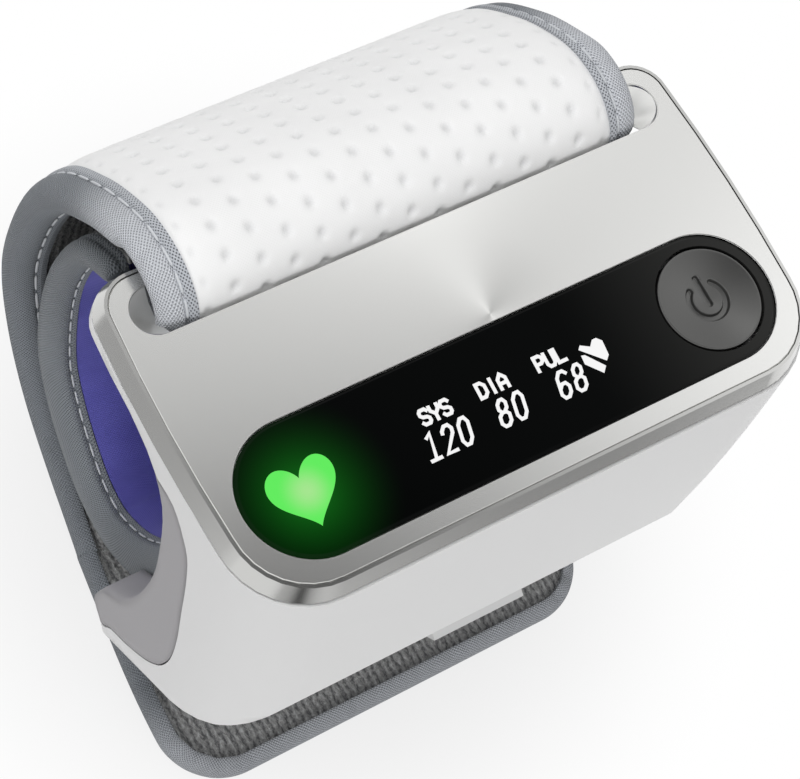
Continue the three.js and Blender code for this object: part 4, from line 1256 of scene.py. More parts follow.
@dataclass
class Display:
    """The readings and the two hearts, as lit marks just over the glass."""

    lift: float = 0.02
    label: Lettering = Lettering((1.02, 1.75), 1.42, 0.68, 0.05, 0.45)
    number: Lettering = Lettering((1.28, 3.1), 2.2, -3.45, 0.25, 0.44)
    labels: tuple[tuple[str, float], ...] = (("SYS", -12.3), ("DIA", -4.42), ("PUL", 3.7))
    numbers: tuple[tuple[str, float], ...] = (("120", -13.75), ("80", -3.95), ("68", 4.52))
    heart_size: Pair = (4.3, 7.9)
    heart_place: Pair = (-28.82, -0.1)
    heart_middle: Pair = (-28.7, -0.3)
    heart_lean: float = 0.06
    heart_power: float = 2.45
    stroke_cap: float = 1 / 2.6

    def ribbon(self, skin: Skin, line: Array, width: float) -> None:
        """Adds one flat stroke.

        Each point gives two, half a width to either side along the mean of its two neighbours'
        normals, pushed out at corners so that the stroke keeps its width. An open stroke's ends
        reach a little further.

        Args:
            skin: the mesh being gathered.
            line: the stroke's points.
            width: its width.
        """
        step = np.diff(line, axis=0)
        step /= np.linalg.norm(step, axis=1, keepdims=True)
        if np.allclose(line[0], line[-1]):
            before, after = np.vstack([step[-1:], step]), np.vstack([step, step[:1]])
        else:
            cap = width * self.stroke_cap
            ends = line[:1] - step[:1] * cap, line[-1:] + step[-1:] * cap
            line = np.vstack([ends[0], line[1:-1], ends[1]])
            before, after = np.vstack([step[:1], step]), np.vstack([step, step[-1:]])
        mean = before + after
        mean /= np.linalg.norm(mean, axis=1, keepdims=True)
        spread = 1 / np.clip(np.sum(mean * after, axis=1, keepdims=True), 0.6, 1)
        side = np.stack([-mean[:, 1], mean[:, 0]], axis=1) * spread * width / 2
        skin.grid(at_height(np.stack([line - side, line + side], axis=1), self.lift))

    def word(self, skin: Skin, text: str, left: float, style: Lettering) -> None:
        """Adds a row of characters: each unit glyph is scaled, leant by its height and moved.

        Args:
            skin: the mesh being gathered.
            text: the characters.
            left: where the first one starts.
            style: the style that they are written in.
        """
        for i, character in enumerate(text):
            for stroke in GLYPHS[character]:
                unit = np.array(stroke, float)
                y = style.low + unit[:, 1] * style.size[1]
                x = left + i * style.pitch + unit[:, 0] * style.size[0]
                x = x + style.lean * (y - style.low)
                self.ribbon(skin, np.stack([x, y], axis=1), style.stroke)

    def readings(self) -> None:
        """The three labels and the three plain numbers under them."""
        skin = Skin()
        for words, style in ((self.labels, self.label), (self.numbers, self.number)):
            for text, left in words:
                self.word(skin, text, left, style)
        dress(skin.make("display_readings"), DIGITS)

    def small_heart(self) -> None:
        """The small barred heart beside the pulse: two flat panels with a gap between them."""
        skin = Skin()
        for outline in SMALL_HEART:
            ring = np.array(outline)
            flat = np.stack([np.broadcast_to(ring.mean(0), ring.shape), ring])
            skin.grid(at_height(flat, self.lift), around=True, turned=True)
        dress(skin.make("display_heart_icon", weld=True), DIGITS)

    def pulse_heart(self) -> None:
        """The large lit heart.

        Its outline is near the classic one: x is a power of the sine, y a sum of four cosines.
        The inside is that outline drawn in toward its middle.
        """
        t = np.linspace(0, FULL_TURN, 97)[:-1]
        x = np.sign(np.sin(t)) * np.abs(np.sin(t)) ** self.heart_power * self.heart_size[0]
        y = 13 * np.cos(t) - 5 * np.cos(2 * t) - 2 * np.cos(3 * t) - np.cos(4 * t)
        y = y / 29 * self.heart_size[1]
        left, low = self.heart_place
        outline = np.stack([left + x + self.heart_lean * y, low + y], axis=1)
        middle = np.array(self.heart_middle)
        shares = np.linspace(0.001, 1, 9)[:, None, None]
        skin = Skin()
        skin.grid(at_height(middle + (outline - middle) * shares, self.lift), around=True)
        dress(skin.make("pulse_heart"), PULSE)

    def build(self) -> None:
        """Adds the readings and the hearts."""
        self.readings()
        self.small_heart()
        self.pulse_heart()


@dataclass
class PowerButton:
    """The dished press button with its engraved ring and bar."""

    centre: Pair = (28.3, 0.0)
    radius: float = 6.6
    dish: float = 0.6
    round_edge: float = 0.22
    side_drops: Pair = (-1.2, -2.0)
    mark_radius: float = 3.4
    plain_radius: float = 3.5
    ring_rise: float = 0.1
    ring_radius: float = 2.35
    ring_gap: float = 42.0
    cut_width: float = 0.25
    cut_fade: float = 2.1
    cut_depth: float = 0.5
    bar: Pair = (-0.35, 3.0)

    def cut(self, x: Array, y: Array) -> Array:
        """How deep the engraving is at a place.

        The distance to the ring is the difference from its radius, or to its ends where the ring
        is open; the distance to the bar is that to a straight piece. The nearer of the two sets
        the depth, which falls off smoothly over the cut's half width.

        Args:
            x: places across from the button's centre.
            y: places up from it.

        Returns:
            The depth, zero away from the marks.
        """
        dy = y - self.ring_rise
        ring = np.abs(np.hypot(x, dy) - self.ring_radius)
        end = math.radians(self.ring_gap)
        end_x, end_y = self.ring_radius * math.sin(end), self.ring_radius * math.cos(end)
        ends = np.minimum(np.hypot(x - end_x, dy - end_y), np.hypot(x + end_x, dy - end_y))
        ring = np.where(np.abs(np.degrees(np.arctan2(x, dy))) > self.ring_gap, ring, ends)
        bar = np.hypot(x, y - np.clip(y, *self.bar))
        fade = smoothstep(np.minimum(ring, bar), self.cut_width, self.cut_width * self.cut_fade)
        return self.cut_depth * (1 - fade)

    def build(self) -> None:
        """Makes the button: rings of points dished in the middle, a rounded rim, a straight
        side."""
        flat = self.radius - self.round_edge
        inner = np.r_[np.linspace(0.002, self.mark_radius, 76),
                      np.linspace(self.plain_radius, flat, 22)]
        bend = np.linspace(0, QUARTER, 6)[1:]
        r = np.r_[inner, flat + self.round_edge * np.sin(bend), self.radius, self.radius]
        rim = -self.round_edge * (1 - np.cos(bend))
        drop = np.r_[-self.dish * (1 - (inner / flat) ** 2), rim, self.side_drops]
        turn = np.linspace(0, FULL_TURN, 241)[:-1]
        x, y = r[:, None] * np.cos(turn), r[:, None] * np.sin(turn)
        cut = self.cut(x, y) * (r[:, None] < self.mark_radius)
        z = np.broadcast_to(drop[:, None], x.shape) - cut
        points = np.stack([x + self.centre[0], y + self.centre[1], z], axis=-1)
        skin = Skin()
        skin.grid(points, around=True, caps=True)
        piece = skin.make("power_button_face", sharp=50)
        dress(piece, BUTTON_ABS, Body.BUTTON)
        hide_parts("power_button")


# ---------------------------------------------------------------- cloth


@dataclass
class Strip:
    """A rounded edge tape: its section, and the way it is carried along a sheet's edge."""

    width: float
    round_share: float
    groove: float
    groove_depth: float
    lip_rise: float
    groove_reach: float = 0.28
    lip_dip: float = 0.2
    face_points: int = 12
    round_points: int = 22

    def section(self) -> tuple[Array, Array]:
        """The section, from the inner lip of one face round the edge to that of the other.

        The side is half an ellipse. Each face is flat with a bell-shaped groove for the stitches,
        and the lip beyond the groove stands a little higher.

        Returns:
            The way in from the edge, and the drop as a share of the thickness from -0.5 to 0.5.
        """
        half = self.width * self.round_share
        face = np.linspace(self.width, half, self.face_points)
        angle = np.linspace(QUARTER, 3 * QUARTER, self.round_points)
        flat = np.full(self.face_points - 1, 0.5)
        inward = np.r_[face[:-1], half + half * np.cos(angle), face[::-1][1:]]
        return inward, np.r_[flat, 0.5 * np.sin(angle), -flat]

    def carve(self, inward: Array) -> Array:
        """How much the faces sink (groove) or rise (lip) at a way in from the edge."""
        sink = self.groove_depth * np.exp(-(((inward - self.groove) / self.groove_reach) ** 2))
        return self.lip_rise * smoothstep(inward, self.groove, self.groove + 0.5) - sink

    def carry(self, sheet: Sheet, x: Array, along: Array, across: Array, high: Array,
              thick: Array, fold: float | Array = 0.0, scale: float | Array = 1.0,
              lip: float | Array = 1.0) -> tuple[Array, Array]:
        """Carries the section along an edge.

        Args:
            sheet: the sheet that it follows.
            x: the edge's places across.
            along: the edge's distances along.
            across: the unit step inward from the edge, in x and along.
            high: the height of the upper face at each place.
            thick: the thickness at each place.
            fold: an extra height at each place, for gathered cloth.
            scale: the share of the full width at each place.
            lip: the share of the inner face's flat part that is left at each place.

        Returns:
            The points, and the pattern places (round the section, along the edge).
        """
        inward, drop = self.section()
        half = self.width * self.round_share
        fold, scale, lip = (np.broadcast_to(value, len(x))[:, None] for value in (fold, scale, lip))
        inner = np.maximum(inward - half, 0) * (drop < -0.499)
        inward = inward - inner * (1 - lip)
        lift = self.carve(inward) * np.sign(drop) * (np.abs(drop) >= 0.499)
        dip = self.lip_dip * (inner / (self.width - half)) ** 2 * (1 - lip)
        n = high[:, None] - thick[:, None] / 2 + (drop + dip) * thick[:, None] + lift
        n = n + fold * np.sin(np.clip(inward / self.width, 0, 1) * math.pi)
        inward = inward * scale
        points = sheet.at(x[:, None] + across[:, :1] * inward,
                          along[:, None] + across[:, 1:] * inward, n)
        around = travel(points[len(x) // 2])
        edge = travel(points[:, points.shape[1] // 2])
        marks = np.meshgrid(np.r_[around, around[-1] + self.width], edge, indexing="xy")
        return points, np.stack(marks, axis=-1)


@dataclass(frozen=True)
class Thread:
    """The size of a stitch: its pitch, and the length, width and height of its thread."""

    pitch: float
    length: float
    wide: float
    high: float

    def sew(self, skin: Skin, sheet: Sheet, x: Array, along: Array, n: Array) -> None:
        """Adds threads that lie in a line along a sheet, each a flattened spindle.

        A thread's radius is the root of one less the sixth power of the way along it, so it is
        even in the middle and round at both ends.

        Args:
            skin: the mesh being gathered.
            sheet: the sheet that they lie on.
            x: the line's places across.
            along: its distances along.
            n: its heights.
        """
        line = sheet.at(x, along, n)
        reach = travel(line)
        starts = np.arange(self.pitch * 0.5, reach[-1] - self.length, self.pitch)
        t = np.linspace(-0.98, 0.98, 8)
        where = starts[:, None] + (t + 1) / 2 * self.length
        core = np.stack([np.interp(where, reach, line[:, k]) for k in range(3)], axis=-1)
        ahead = np.gradient(core, axis=1)
        ahead /= np.linalg.norm(ahead, axis=-1, keepdims=True)
        above = sheet.at(x, along, n + 1.0) - line
        up = np.stack([np.interp(where, reach, above[:, k]) for k in range(3)], axis=-1)
        side = np.cross(ahead, up)
        turn = np.linspace(0, FULL_TURN, 7)[:-1]
        ring = side[:, :, None] * (np.cos(turn) * self.wide / 2)[:, None]
        ring = ring + up[:, :, None] * (np.sin(turn) * self.high / 2)[:, None]
        for thread in core[:, :, None] + ring * np.sqrt(1 - t**6)[None, :, None, None]:
            skin.grid(thread, around=True, caps=True)


@dataclass
class Cuff:
    """The padded cuff: its outer loop cloth, its lining and the piping round both ends."""

    back: float = 43.2
    bottom: float = 59.8
    half: float = 33.2
    piping: float = 3.0
    piping_groove: float = 2.2
    piping_close: float = 1.6
    piping_round: float = 0.62
    piping_groove_depth: float = 0.3
    piping_lip: float = 0.1
    gap: float = 0.3
    thickness: float = 7.7
    end_thickness: float = 2.6
    top_thickness: float = 3.4
    full_from: float = 0.16
    thin_from: float = 0.5
    thin_to: float = 0.98
    puff: float = 0.9
    slack: float = 0.12
    slack_wave: float = 6.1
    layer: float = 1.0
    fade_start: Pair = (2, 14)
    fade_end: Pair = (16, 2)
    outside_puff: float = 0.25
    outside_slack: float = 0.4
    columns: int = 61
    rows: int = 181
    seam_ends: float = 3.0
    thread_sink: float = 0.1
    hole_shares: tuple[Pair, Pair] = ((0.12, 0.3), (0.6, 0.78))
    hole_band: tuple[Pair, Pair] = ((1.6, 2.4), (6.2, 7.4))
    pale_lip: Pair = (0.8, 1.6)
    pale_share: float = 0.25
    hole_pale: float = 0.12
    line_steps: int = 700
    edge_points: int = 260
    thread: Thread = Thread(2.5, 2.0, 0.3, 0.28)
    shares: tuple[Pair, ...] = (
        (0.083, 0.368), (0.051, 0.569), (0.079, 0.736), (0.197, 0.891), (0.37, 0.987), (0.544, 1),
        (0.706, 0.953), (0.868, 0.857), (0.982, 0.73), (1.03, 0.552), (1.025, 0.385),
        (0.962, 0.227), (0.82, 0.135),
    )

    def __post_init__(self) -> None:
        """Lays the cuff's outer line through its places."""
        places = np.array(self.shares) * [self.back, -self.bottom]
        self.sheet = Sheet(spline(places, self.line_steps))

    def depth(self, along: Array) -> Array:
        """The cuff's thickness: thin at both ends and full in between, with smooth steps.

        Args:
            along: distances along the cuff's outer line.

        Returns:
            The thickness at each of them.
        """
        length = self.sheet.length
        rise = smoothstep(along, 0, length * self.full_from)
        fall = smoothstep(along, length * self.thin_from, length * self.thin_to)
        low = self.end_thickness + (self.thickness - self.end_thickness) * rise
        return low + (self.top_thickness - low) * fall

    def panel(self, name: str, outside: bool, finish: Finish, node: str) -> None:
        """The lining or the outer cloth, a padded layer crowned between the two pipings.

        The crown is one less the sixth power of the way from the middle to the piping, and it
        fades toward both ends of the cuff. A slow wave along it gives the slack of real padding.

        Args:
            name: the piece's name.
            outside: whether it is the outer cloth.
            finish: its finish.
            node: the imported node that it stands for.
        """
        length = self.sheet.length
        across, along = np.linspace(-1, 1, self.columns), np.linspace(self.gap, length, self.rows)
        u, v = np.meshgrid(across, along, indexing="xy")
        end = smoothstep(v, *(length - reach for reach in self.fade_end))
        fade = smoothstep(v, *self.fade_start) * (1 - end)
        crown = (1 - np.abs(u) ** 6) * fade
        wave = np.sin(v / self.slack_wave + 1.7 * np.sin(u * 2.2))
        slack = self.slack * wave * fade * (1 - u**2)
        depth = self.depth(v)
        if outside:
            top = -crown * self.puff * self.outside_puff - slack * self.outside_slack
            bottom = np.full_like(v, self.layer)
        else:
            top, bottom = depth + crown * self.puff + slack, depth - self.layer
        x = u * (self.half - self.piping - self.gap * 0.5)
        skin = Skin()
        skin.slab(self.sheet.at(x, v, top), self.sheet.at(x, v, bottom), np.stack([x, v], axis=-1))
        piece = skin.make(name, weld=True, sharp=60)
        dress(piece, finish)
        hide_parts(node)

    def edge(self, side: int) -> tuple[Array, Array, Array]:
        """The piping's edge line on the left (-1) or the right (1) side.

        Args:
            side: which side.

        Returns:
            The places across, the distances along, and the thickness.
        """
        along = np.linspace(self.gap, self.sheet.length, self.edge_points)
        return np.full_like(along, side * self.half), along, self.depth(along)

    def piping_strip(self, side: int, suffix: str) -> None:
        """The piping on one side.

        The mesh of dark holes lies on the rounded side, is strongest half way down, and gives way
        to plain cloth toward the outer face.

        Args:
            side: -1 for left, 1 for right.
            suffix: the end of its name.
        """
        x, along, thick = self.edge(side)
        across = np.tile([-side, 0.0], (len(along), 1))
        strip = Strip(self.piping, self.piping_round, self.piping_groove,
                      self.piping_groove_depth, self.piping_lip)
        last = (along - self.sheet.length + self.piping_close) / self.piping_close
        closing = np.sqrt(1 - np.clip(last, 0, 0.98) ** 2)
        high = thick * (1 + closing) / 2
        points, marks = strip.carry(self.sheet, x, along, across, high, thick * closing)
        part = np.clip((along - self.gap) / self.sheet.length, 0, 1)
        middle = between(part, *self.hole_shares)
        u = marks[:, :-1, 0]
        band = between(u, *self.hole_band)
        light = (1 - smoothstep(u, *self.pale_lip)) * self.pale_share + band * self.hole_pale
        shades = {"mesh": band * middle[:, None], "light": light}
        skin = Skin()
        skin.grid(points, marks, around=True, caps=True, turned=side > 0, shades=shades)
        piece = skin.make(f"cuff_piping_cloth_{suffix}", sharp=70)
        dress(piece, PIPING)
        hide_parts(f"cuff_piping_{suffix}")

    def seam_threads(self) -> None:
        """The stitches in the piping's groove on both sides."""
        skin = Skin()
        for side in (-1, 1):
            x, along, thick = self.edge(side)
            keep = (along > self.seam_ends) & (along < self.sheet.length - self.seam_ends)
            line = x[keep] - side * self.piping_groove
            self.thread.sew(skin, self.sheet, line, along[keep], thick[keep] - self.thread_sink)
        dress(skin.make("cuff_stitches"), THREAD)

    def build(self) -> None:
        """Makes the whole cuff."""
        self.panel("cuff_outer_cloth", True, LOOP, "cuff_cover")
        self.panel("cuff_inner_lining", False, LINING, "cuff_lining")
        self.piping_strip(-1, "left")
        self.piping_strip(1, "right")
        self.seam_threads()


class Stretch(Enum):
    """The three stretches of the strap: its name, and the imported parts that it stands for."""

    INNER = ("inner", ("fold",))
    FOLD = ("fold", ("fold", "flap"))
    TIP = ("tip", ("flap",))


@dataclass
class Strap:
    """The strap: from the cuff's end up through the slot, over the bar and down as the flap."""

    cuff: Cuff
    slot_line: float = 23.0
    slab: float = 5.2
    crest: float = 3.5
    bar_middle: float = 30.325
    bar_back: float = 31.85
    slot_back: float = 28.8
    hinge_span: Pair = (29.0, 33.2)
    flap_reach: float = 53.2
    flap_depth: float = 72.0
    flap_tip: float = 15.1
    tip_radius: float = 9.0
    half: float = 33.5
    shift: float = -0.3
    lean: float = 1.1
    skewing: float = 2.5
    taper: float = 0.6
    thickness: float = 3.0
    bulge: float = 1.8
    bulge_reach: float = 1.7
    binding: float = 4.6
    binding_tip: float = 3.3
    round_share: float = 0.6
    groove: float = 3.3
    groove_depth: float = 0.34
    lip_rise: float = 0.3
    lip_loss: float = 0.9
    gather: float = 0.28
    gathers: int = 14
    face: float = 1.6
    gap: float = 0.3
    crown: float = 0.75
    dent_across: float = 8.0
    dent_along: float = 3.55
    dent_depth: float = 0.5
    dent_radius: float = 0.4
    fine_step: float = 0.36
    fine_columns: int = 176
    coarse_step: float = 1.2
    coarse_columns: int = 40
    edge_step: float = 0.6
    thread: Thread = Thread(3.3, 2.75, 0.42, 0.36)
    thread_sink: float = 0.08
    thread_inner: float = 0.16
    tape_rise: float = 0.08
    crown_reach: float = 1.3
    crown_slot: float = 0.25
    crown_free: Pair = (1.0, 6.0)
    dent_rim: Pair = (0.6, 1.6)
    flat_tip: Pair = (0.9, 0.99)
    back_puff: float = 0.35
    back_reach: float = 1.5
    back_share: float = 0.45
    slot_highlight_reach: Pair = (16, 30)
    pale_tip: Pair = (0.9, 0.97)
    lip_band: Pair = (1.2, 1.6)
    hole_band: Pair = (7.2, 8.0)
    hole_reach: Pair = (14, 24)
    lip_holes: float = 0.9
    inner_holes: float = 0.95
    pale_share: float = 0.6
    line_steps: int = 1500
    shares: tuple[Pair, ...] = (
        (0.4, 0.004), (0.58, 0.056), (0.81, 0.147), (0.95, 0.262), (1, 0.405), (0.965, 0.536),
        (0.78, 0.67), (0.54, 0.786), (0.28, 0.873), (-0.04, 0.948), (-0.33, 0.988), (-0.56, 1),
    )

    def __post_init__(self) -> None:
        """Lays the strap's outer line through its places, and finds where its stretches meet."""
        sheet, rise = self.cuff.sheet, self.bar_middle - self.slot_line
        _, end_y, end_z = sheet.at(0.0, sheet.length, self.cuff.top_thickness)
        back = end_y - self.slot_line
        start = [
            (end_y - self.gap, end_z),
            (self.slot_line + back * 0.45, end_z * 0.93),
            (self.slot_line + back * 0.12, -self.slab * 1.1),
            (self.slot_line, -self.slab * 0.45),
            (self.slot_line + rise * 0.13, self.crest * 0.16),
            (self.slot_line + rise * 0.5, self.crest * 0.76),
            (self.bar_middle, self.crest),
            (self.bar_middle + rise * 0.61, self.crest * 0.76),
        ]
        reach = self.flap_reach - self.bar_middle
        flap = [(self.bar_middle + y * reach, -z * self.flap_depth) for y, z in self.shares]
        tip = [(-self.flap_tip * 0.5, -self.flap_depth), (-self.flap_tip, -self.flap_depth)]
        line = spline(np.array(start + flap + tip), self.line_steps)
        line[:, 1] = np.maximum(line[:, 1], -self.flap_depth)
        self.sheet = Sheet(line)
        self.split = self.sheet.nearest(self.bar_middle, self.crest) + 0.5
        self.slot_in = self.sheet.nearest(self.slot_line, -self.slab * 0.45)
        under = self.bar_middle + 0.3 * reach
        self.turn_in = self.sheet.nearest(under, -0.865 * self.flap_depth)

    def limits(self, stretch: Stretch) -> Pair:
        """Where a stretch lies along the strap.

        Args:
            stretch: which stretch.

        Returns:
            The distances at which it starts and ends.
        """
        return {
            Stretch.INNER: (0.0, self.slot_in),
            Stretch.FOLD: (self.slot_in, self.turn_in),
            Stretch.TIP: (self.turn_in, self.sheet.length),
        }[stretch]

    def step_at(self, along: Array, low: float, high: float) -> Array:
        """Rises smoothly between two shares of the strap's length."""
        return smoothstep(along, self.sheet.length * low, self.sheet.length * high)

    def middle(self, along: Array) -> Array:
        """How far the strap's middle is shifted: a little one way at the back, then the other."""
        lean, turn = self.step_at(along, 0.5, 0.72), self.step_at(along, 0.72, 0.96)
        return self.shift + self.lean * lean - (self.lean + self.skewing) * turn

    def half_width(self, along: Array) -> Array:
        """Half the strap's width, which tapers a little toward the tip."""
        return self.half - self.taper * self.step_at(along, 0.8, 1)

    def band(self, along: Array) -> Array:
        """The binding's thickness: thin through the slot and over the bar, fuller where free.

        Args:
            along: distances along the strap.

        Returns:
            The thickness at each of them.
        """
        bar = self.bar_back - self.slot_back
        past = np.maximum(along - self.split, 0) / (self.bulge_reach * bar)
        return self.thickness + self.bulge * (1 - np.exp(-(past**4)))

    def under_loop(self, along: Array) -> Array:
        """Rises to 1 on the part of the flap that lies under the loop."""
        return self.step_at(along, 0.55, 0.75)

    def binding_at(self, along: Array) -> Array:
        """The binding's width, which is less on the part of the flap under the loop."""
        return self.binding + (self.binding_tip - self.binding) * self.under_loop(along)

    def lip_at(self, along: Array) -> Array:
        """The share of the binding's flat inner part that is left: little of it at the tip."""
        return 1 - self.lip_loss * self.under_loop(along)

    def inset(self, along: Array, outer: bool) -> Array:
        """How far in from the strap's edge a layer starts.

        Args:
            along: distances along the strap.
            outer: whether it is the face, at the outer lip, or the backing, under the inner one.

        Returns:
            The distances.
        """
        if outer:
            return self.binding_at(along)
        share = self.round_share + (1 - self.round_share) * self.lip_at(along)
        return self.binding_at(along) * share + self.gap - 0.5 * (1 - self.lip_at(along))

    def sides(self, along: Array, outer: bool) -> tuple[Array, Array]:
        """The edges of a layer inside the binding, with round corners at the tip.

        Args:
            along: distances along the strap.
            outer: whether it is the face.

        Returns:
            The places across of its left and its right edge.
        """
        inset = self.inset(self.sheet.length, outer)
        radius, end = self.tip_radius - inset, self.sheet.length - inset
        into = np.clip(along - (end - radius), 0, radius)
        cut = radius - np.sqrt(np.maximum(radius**2 - into**2, 0))
        half = self.half_width(along) - self.inset(along, outer) - cut
        return self.middle(along) - half, self.middle(along) + half

    def dents(self, x: Array, along: Array) -> Array:
        """The depth of the quilting dents, as a share of the full one.

        The dents stand on a lattice whose columns are half a pitch apart and shifted by half a
        step. The depth is a bell over the distance to the nearest of both sub-lattices.

        Args:
            x: places across.
            along: distances along the strap.

        Returns:
            The share.
        """
        depth = np.zeros_like(x)
        for offset in (0.0, 0.5):
            dx = x / self.dent_across - offset
            dv = (along - self.split) / self.dent_along - offset
            dx = (dx - np.round(dx)) * self.dent_across
            dv = (dv - np.round(dv)) * self.dent_along
            depth += np.exp(-(dx**2 + dv**2) / (2 * self.dent_radius**2))
        return depth

    def rows(self, stretch: Stretch, outer: bool, step: float) -> Array:
        """Lays out a layer's rows, closer together round the tip's corners.

        Args:
            stretch: which stretch.
            outer: whether it is the face.
            step: the distance from one row to the next.

        Returns:
            The distances along the strap.
        """
        start, end = self.limits(stretch)
        if stretch is not Stretch.TIP:
            return np.linspace(start, end, max(int((end - start) / step), 2) + 1)
        inset = self.inset(end, outer)
        end -= inset
        round_start = end - (self.tip_radius - inset)
        angle = np.linspace(0, QUARTER, 18)[1:]
        straight = np.linspace(start, round_start, max(int((round_start - start) / step), 2))
        return np.r_[straight, round_start + (end - round_start) * np.sin(angle)]

    def layer(self, stretch: Stretch, name: str, outer: bool) -> Piece:
        """The white face or the loop backing of one stretch.

        The face is crowned: its height is one less a falling exponential of the way in from the
        binding, less the dents.

        Args:
            stretch: which stretch.
            name: the piece's name.
            outer: whether it is the white face.

        Returns:
            The piece, not yet on a body.
        """
        fine = outer and stretch is not Stretch.INNER
        along = self.rows(stretch, outer, self.fine_step if fine else self.coarse_step)
        share = np.linspace(0, 1, self.fine_columns if fine else self.coarse_columns)
        left, right = (line[:, None] for line in self.sides(along, outer))
        x = left + (right - left) * share
        v = np.broadcast_to(along[:, None], x.shape)
        rim = np.minimum(x - left, right - x)
        if stretch is Stretch.TIP:
            rim = np.minimum(rim, along[-1] - v)
        if outer:
            free = smoothstep(v - self.slot_in, *self.crown_free)
            crown = self.crown * (1 - np.exp(-rim / self.crown_reach))
            crown = crown * (self.crown_slot + (1 - self.crown_slot) * free)
            pits = self.dents(x - self.shift, v) * smoothstep(rim, *self.dent_rim)
            top = (crown - self.dent_depth * pits) * (1 - self.step_at(v, *self.flat_tip))
            bottom = np.full_like(v, -self.face)
        else:
            pits = np.zeros_like(v)
            top = np.full_like(v, -self.face - self.gap * 0.5)
            fuller = (self.band(v) - self.thickness) * self.back_share * self.under_loop(v)
            puff = self.back_puff * (1 - np.exp(-rim / self.back_reach))
            bottom = -self.thickness - puff - fuller
        grids = self.sheet.at(x, v, top), self.sheet.at(x, v, bottom)
        skin = Skin()
        # the dent share also darkens the face's colour in the dents: painted shade
        skin.slab(*grids, np.stack([x, v], axis=-1), {"pit": pits})
        return skin.make(name, weld=True, sharp=60)

    def outline(self, stretch: Stretch, side: int) -> tuple[Array, Array, Array]:
        """The binding's edge line of a stretch.

        On the tip stretch the line goes down the left side, round both corners and back up.

        Args:
            stretch: which stretch.
            side: -1 for left, 1 for right, ignored at the tip.

        Returns:
            The places across, the distances along, and the unit step inward.
        """
        start, end = self.limits(stretch)
        if stretch is not Stretch.TIP:
            along = np.linspace(start, end, max(int((end - start) / self.edge_step), 8))
            x = self.middle(along) + side * self.half_width(along)
            return x, along, np.tile([-float(side), 0.0], (len(along), 1))
        radius = self.tip_radius
        straight = np.linspace(start, end - radius, 90)
        turn = np.r_[np.zeros(len(straight)), np.linspace(0, QUARTER, 30)[1:-1]]
        down = np.r_[straight, end - radius + radius * np.sin(turn[len(straight):])]
        half = self.half_width(down) - radius + radius * np.cos(turn)
        flat = np.linspace(-1, 1, 110)
        foot = flat * (self.half_width(end) - radius) + self.middle(end)
        x = np.r_[self.middle(down) - half, foot, (self.middle(down) + half)[::-1]]
        along = np.r_[down, np.full_like(flat, end), down[::-1]]
        step_x = np.r_[np.cos(turn), np.zeros_like(flat), -np.cos(turn)[::-1]]
        step_along = -np.r_[np.sin(turn), np.ones_like(flat), np.sin(turn)[::-1]]
        return x, along, np.stack([step_x, step_along], axis=1)

    def tape(self, stretch: Stretch, side: int, name: str) -> Piece:
        """The binding of one stretch.

        Near the slot it is openly woven and painted paler, a painted highlight where the top light
        falls; further on it is plain grey, and on the flap's inner face the mesh of dark holes
        shows.
        Round the tip's corners it is gathered: its height follows a sine of the way round.

        Args:
            stretch: which stretch.
            side: -1 for left, 1 for right, ignored at the tip.
            name: the piece's name.

        Returns:
            The piece, not yet on a body.
        """
        x, along, inward = self.outline(stretch, side)
        bent = np.abs(inward[:, 0] * inward[:, 1]) * 2
        fold = self.gather * bent * np.sin(np.arctan2(inward[:, 0], -inward[:, 1]) * self.gathers)
        high = np.full_like(along, self.tape_rise)
        scale = self.binding_at(along) / self.binding
        strip = Strip(self.binding, self.round_share, self.groove, self.groove_depth, self.lip_rise)
        points, marks = strip.carry(self.sheet, x, along, inward, high, self.band(along), fold,
                                    scale, self.lip_at(along))
        u = marks[:, :-1, 0]
        # painted highlight: the binding is paler near the slot, where the top light falls
        near = 1 - smoothstep(along - self.slot_in, *self.slot_highlight_reach)
        lip = 1 - smoothstep(u, *self.lip_band)
        far = smoothstep(along - self.split, *self.hole_reach) * self.lip_at(along)
        inner = smoothstep(u, *self.hole_band) * self.inner_holes * far[:, None]
        mesh = np.maximum(lip * self.lip_holes, inner)
        tip = self.step_at(along, *self.pale_tip)
        pale = np.maximum(near, tip * self.pale_share)[:, None]
        light = pale * (1 - lip) + lip * self.pale_share
        skin = Skin()
        turned = side > 0 and stretch is not Stretch.TIP
        skin.grid(points, marks, around=True, caps=True, turned=turned,
                  shades={"mesh": mesh, "light": light})
        return skin.make(name, sharp=70)

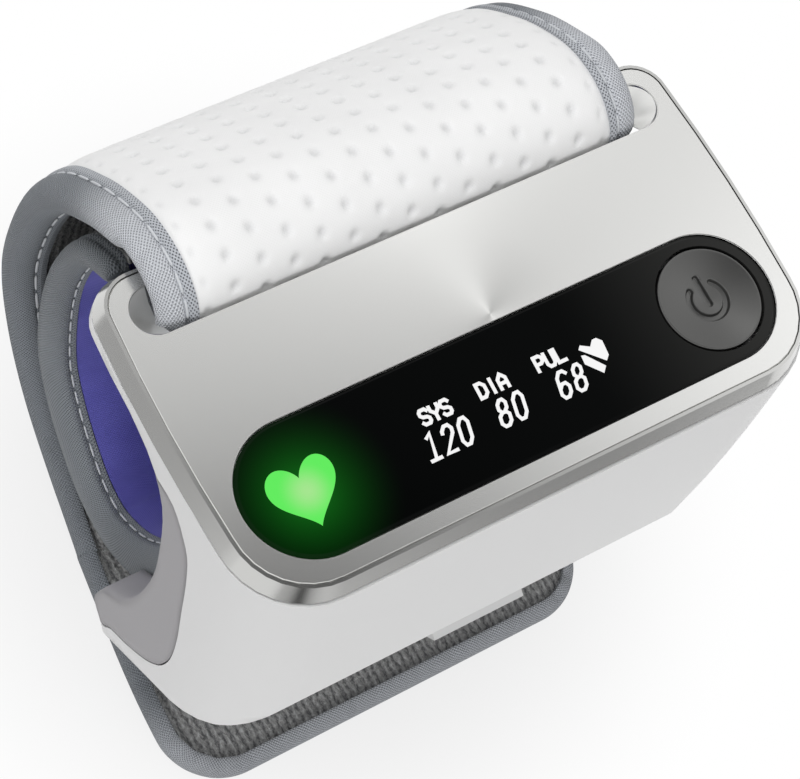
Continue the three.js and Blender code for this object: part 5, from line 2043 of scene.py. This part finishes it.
    def thread_line(self, stretch: Stretch, side: int, name: str) -> Piece:
        """The stitches in the binding's groove, on the outer and, up to the flap, inner face.

        Args:
            stretch: which stretch.
            side: -1 for left, 1 for right, ignored at the tip.
            name: the piece's name.

        Returns:
            The piece, not yet on a body.
        """
        x, along, inward = self.outline(stretch, side)
        groove = self.groove * self.binding_at(along) / self.binding
        x, line = x + inward[:, 0] * groove, along + inward[:, 1] * groove
        skin = Skin()
        self.thread.sew(skin, self.sheet, x, line, np.full_like(along, -self.thread_sink))
        near = self.lip_at(along) > 0.97
        if near.sum() > 4:
            inner = -self.band(along)[near] + self.thread_inner
            self.thread.sew(skin, self.sheet, x[near], line[near], inner)
        return skin.make(name)

    def hang(self, piece: Piece, stretch: Stretch, finish: Finish) -> Piece:
        """Puts a piece of a stretch on its body; a piece of the fold is only painted and has its
        place baked into its mesh.

        Args:
            piece: the object to hang.
            stretch: which stretch it belongs to.
            finish: its finish.

        Returns:
            The same object.
        """
        if stretch is not Stretch.FOLD:
            body = Body.MONITOR if stretch is Stretch.INNER else Body.FLAP
            return dress(piece, finish, body)
        paint(piece, material_of(finish))
        start, end = (tuple(to_row(np.array([0.0, y, self.crest]))) for y in self.hinge_span)
        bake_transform(piece)
        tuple(start)
        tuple(end)
        LOG.info("%s: %d faces from monitor to flap", piece.name, len(piece.data.polygons))
        return piece

    def build(self) -> None:
        """Makes the face, the backing, the bindings and the stitches of all three stretches."""
        for stretch in Stretch:
            label, parts = stretch.value
            face = self.layer(stretch, f"strap_face_{label}", True)
            self.hang(face, stretch, FACE)
            back = self.layer(stretch, f"strap_backing_{label}", False)
            self.hang(back, stretch, LOOP)
            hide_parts(*(f"{part}_face" for part in parts))
            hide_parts(*(f"{part}_backing" for part in parts))
            sides = ((0, ""),) if stretch is Stretch.TIP else ((-1, "_left"), (1, "_right"))
            for side, suffix in sides:
                tape = self.tape(stretch, side, f"strap_binding_{label}{suffix}")
                self.hang(tape, stretch, BINDING)
                ends = {"fold": suffix, "flap": ""}
                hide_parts(*(f"{part}_binding{ends[part]}" for part in parts))
                if stretch is not Stretch.INNER:
                    threads = self.thread_line(stretch, side, f"strap_stitches_{label}{suffix}")
                    thread = THREAD_GREY if stretch is Stretch.TIP else THREAD
                    self.hang(threads, stretch, thread)


def main() -> None:
    """Builds the studio and every sub-assembly in order."""
    logging.basicConfig(level=logging.INFO, format="%(name)s: %(message)s")
    Studio().build()
    Housing().build()
    Display().build()
    PowerButton().build()
    cuff = Cuff()
    cuff.build()
    Strap(cuff).build()


if __name__ == "__main__":
    main()
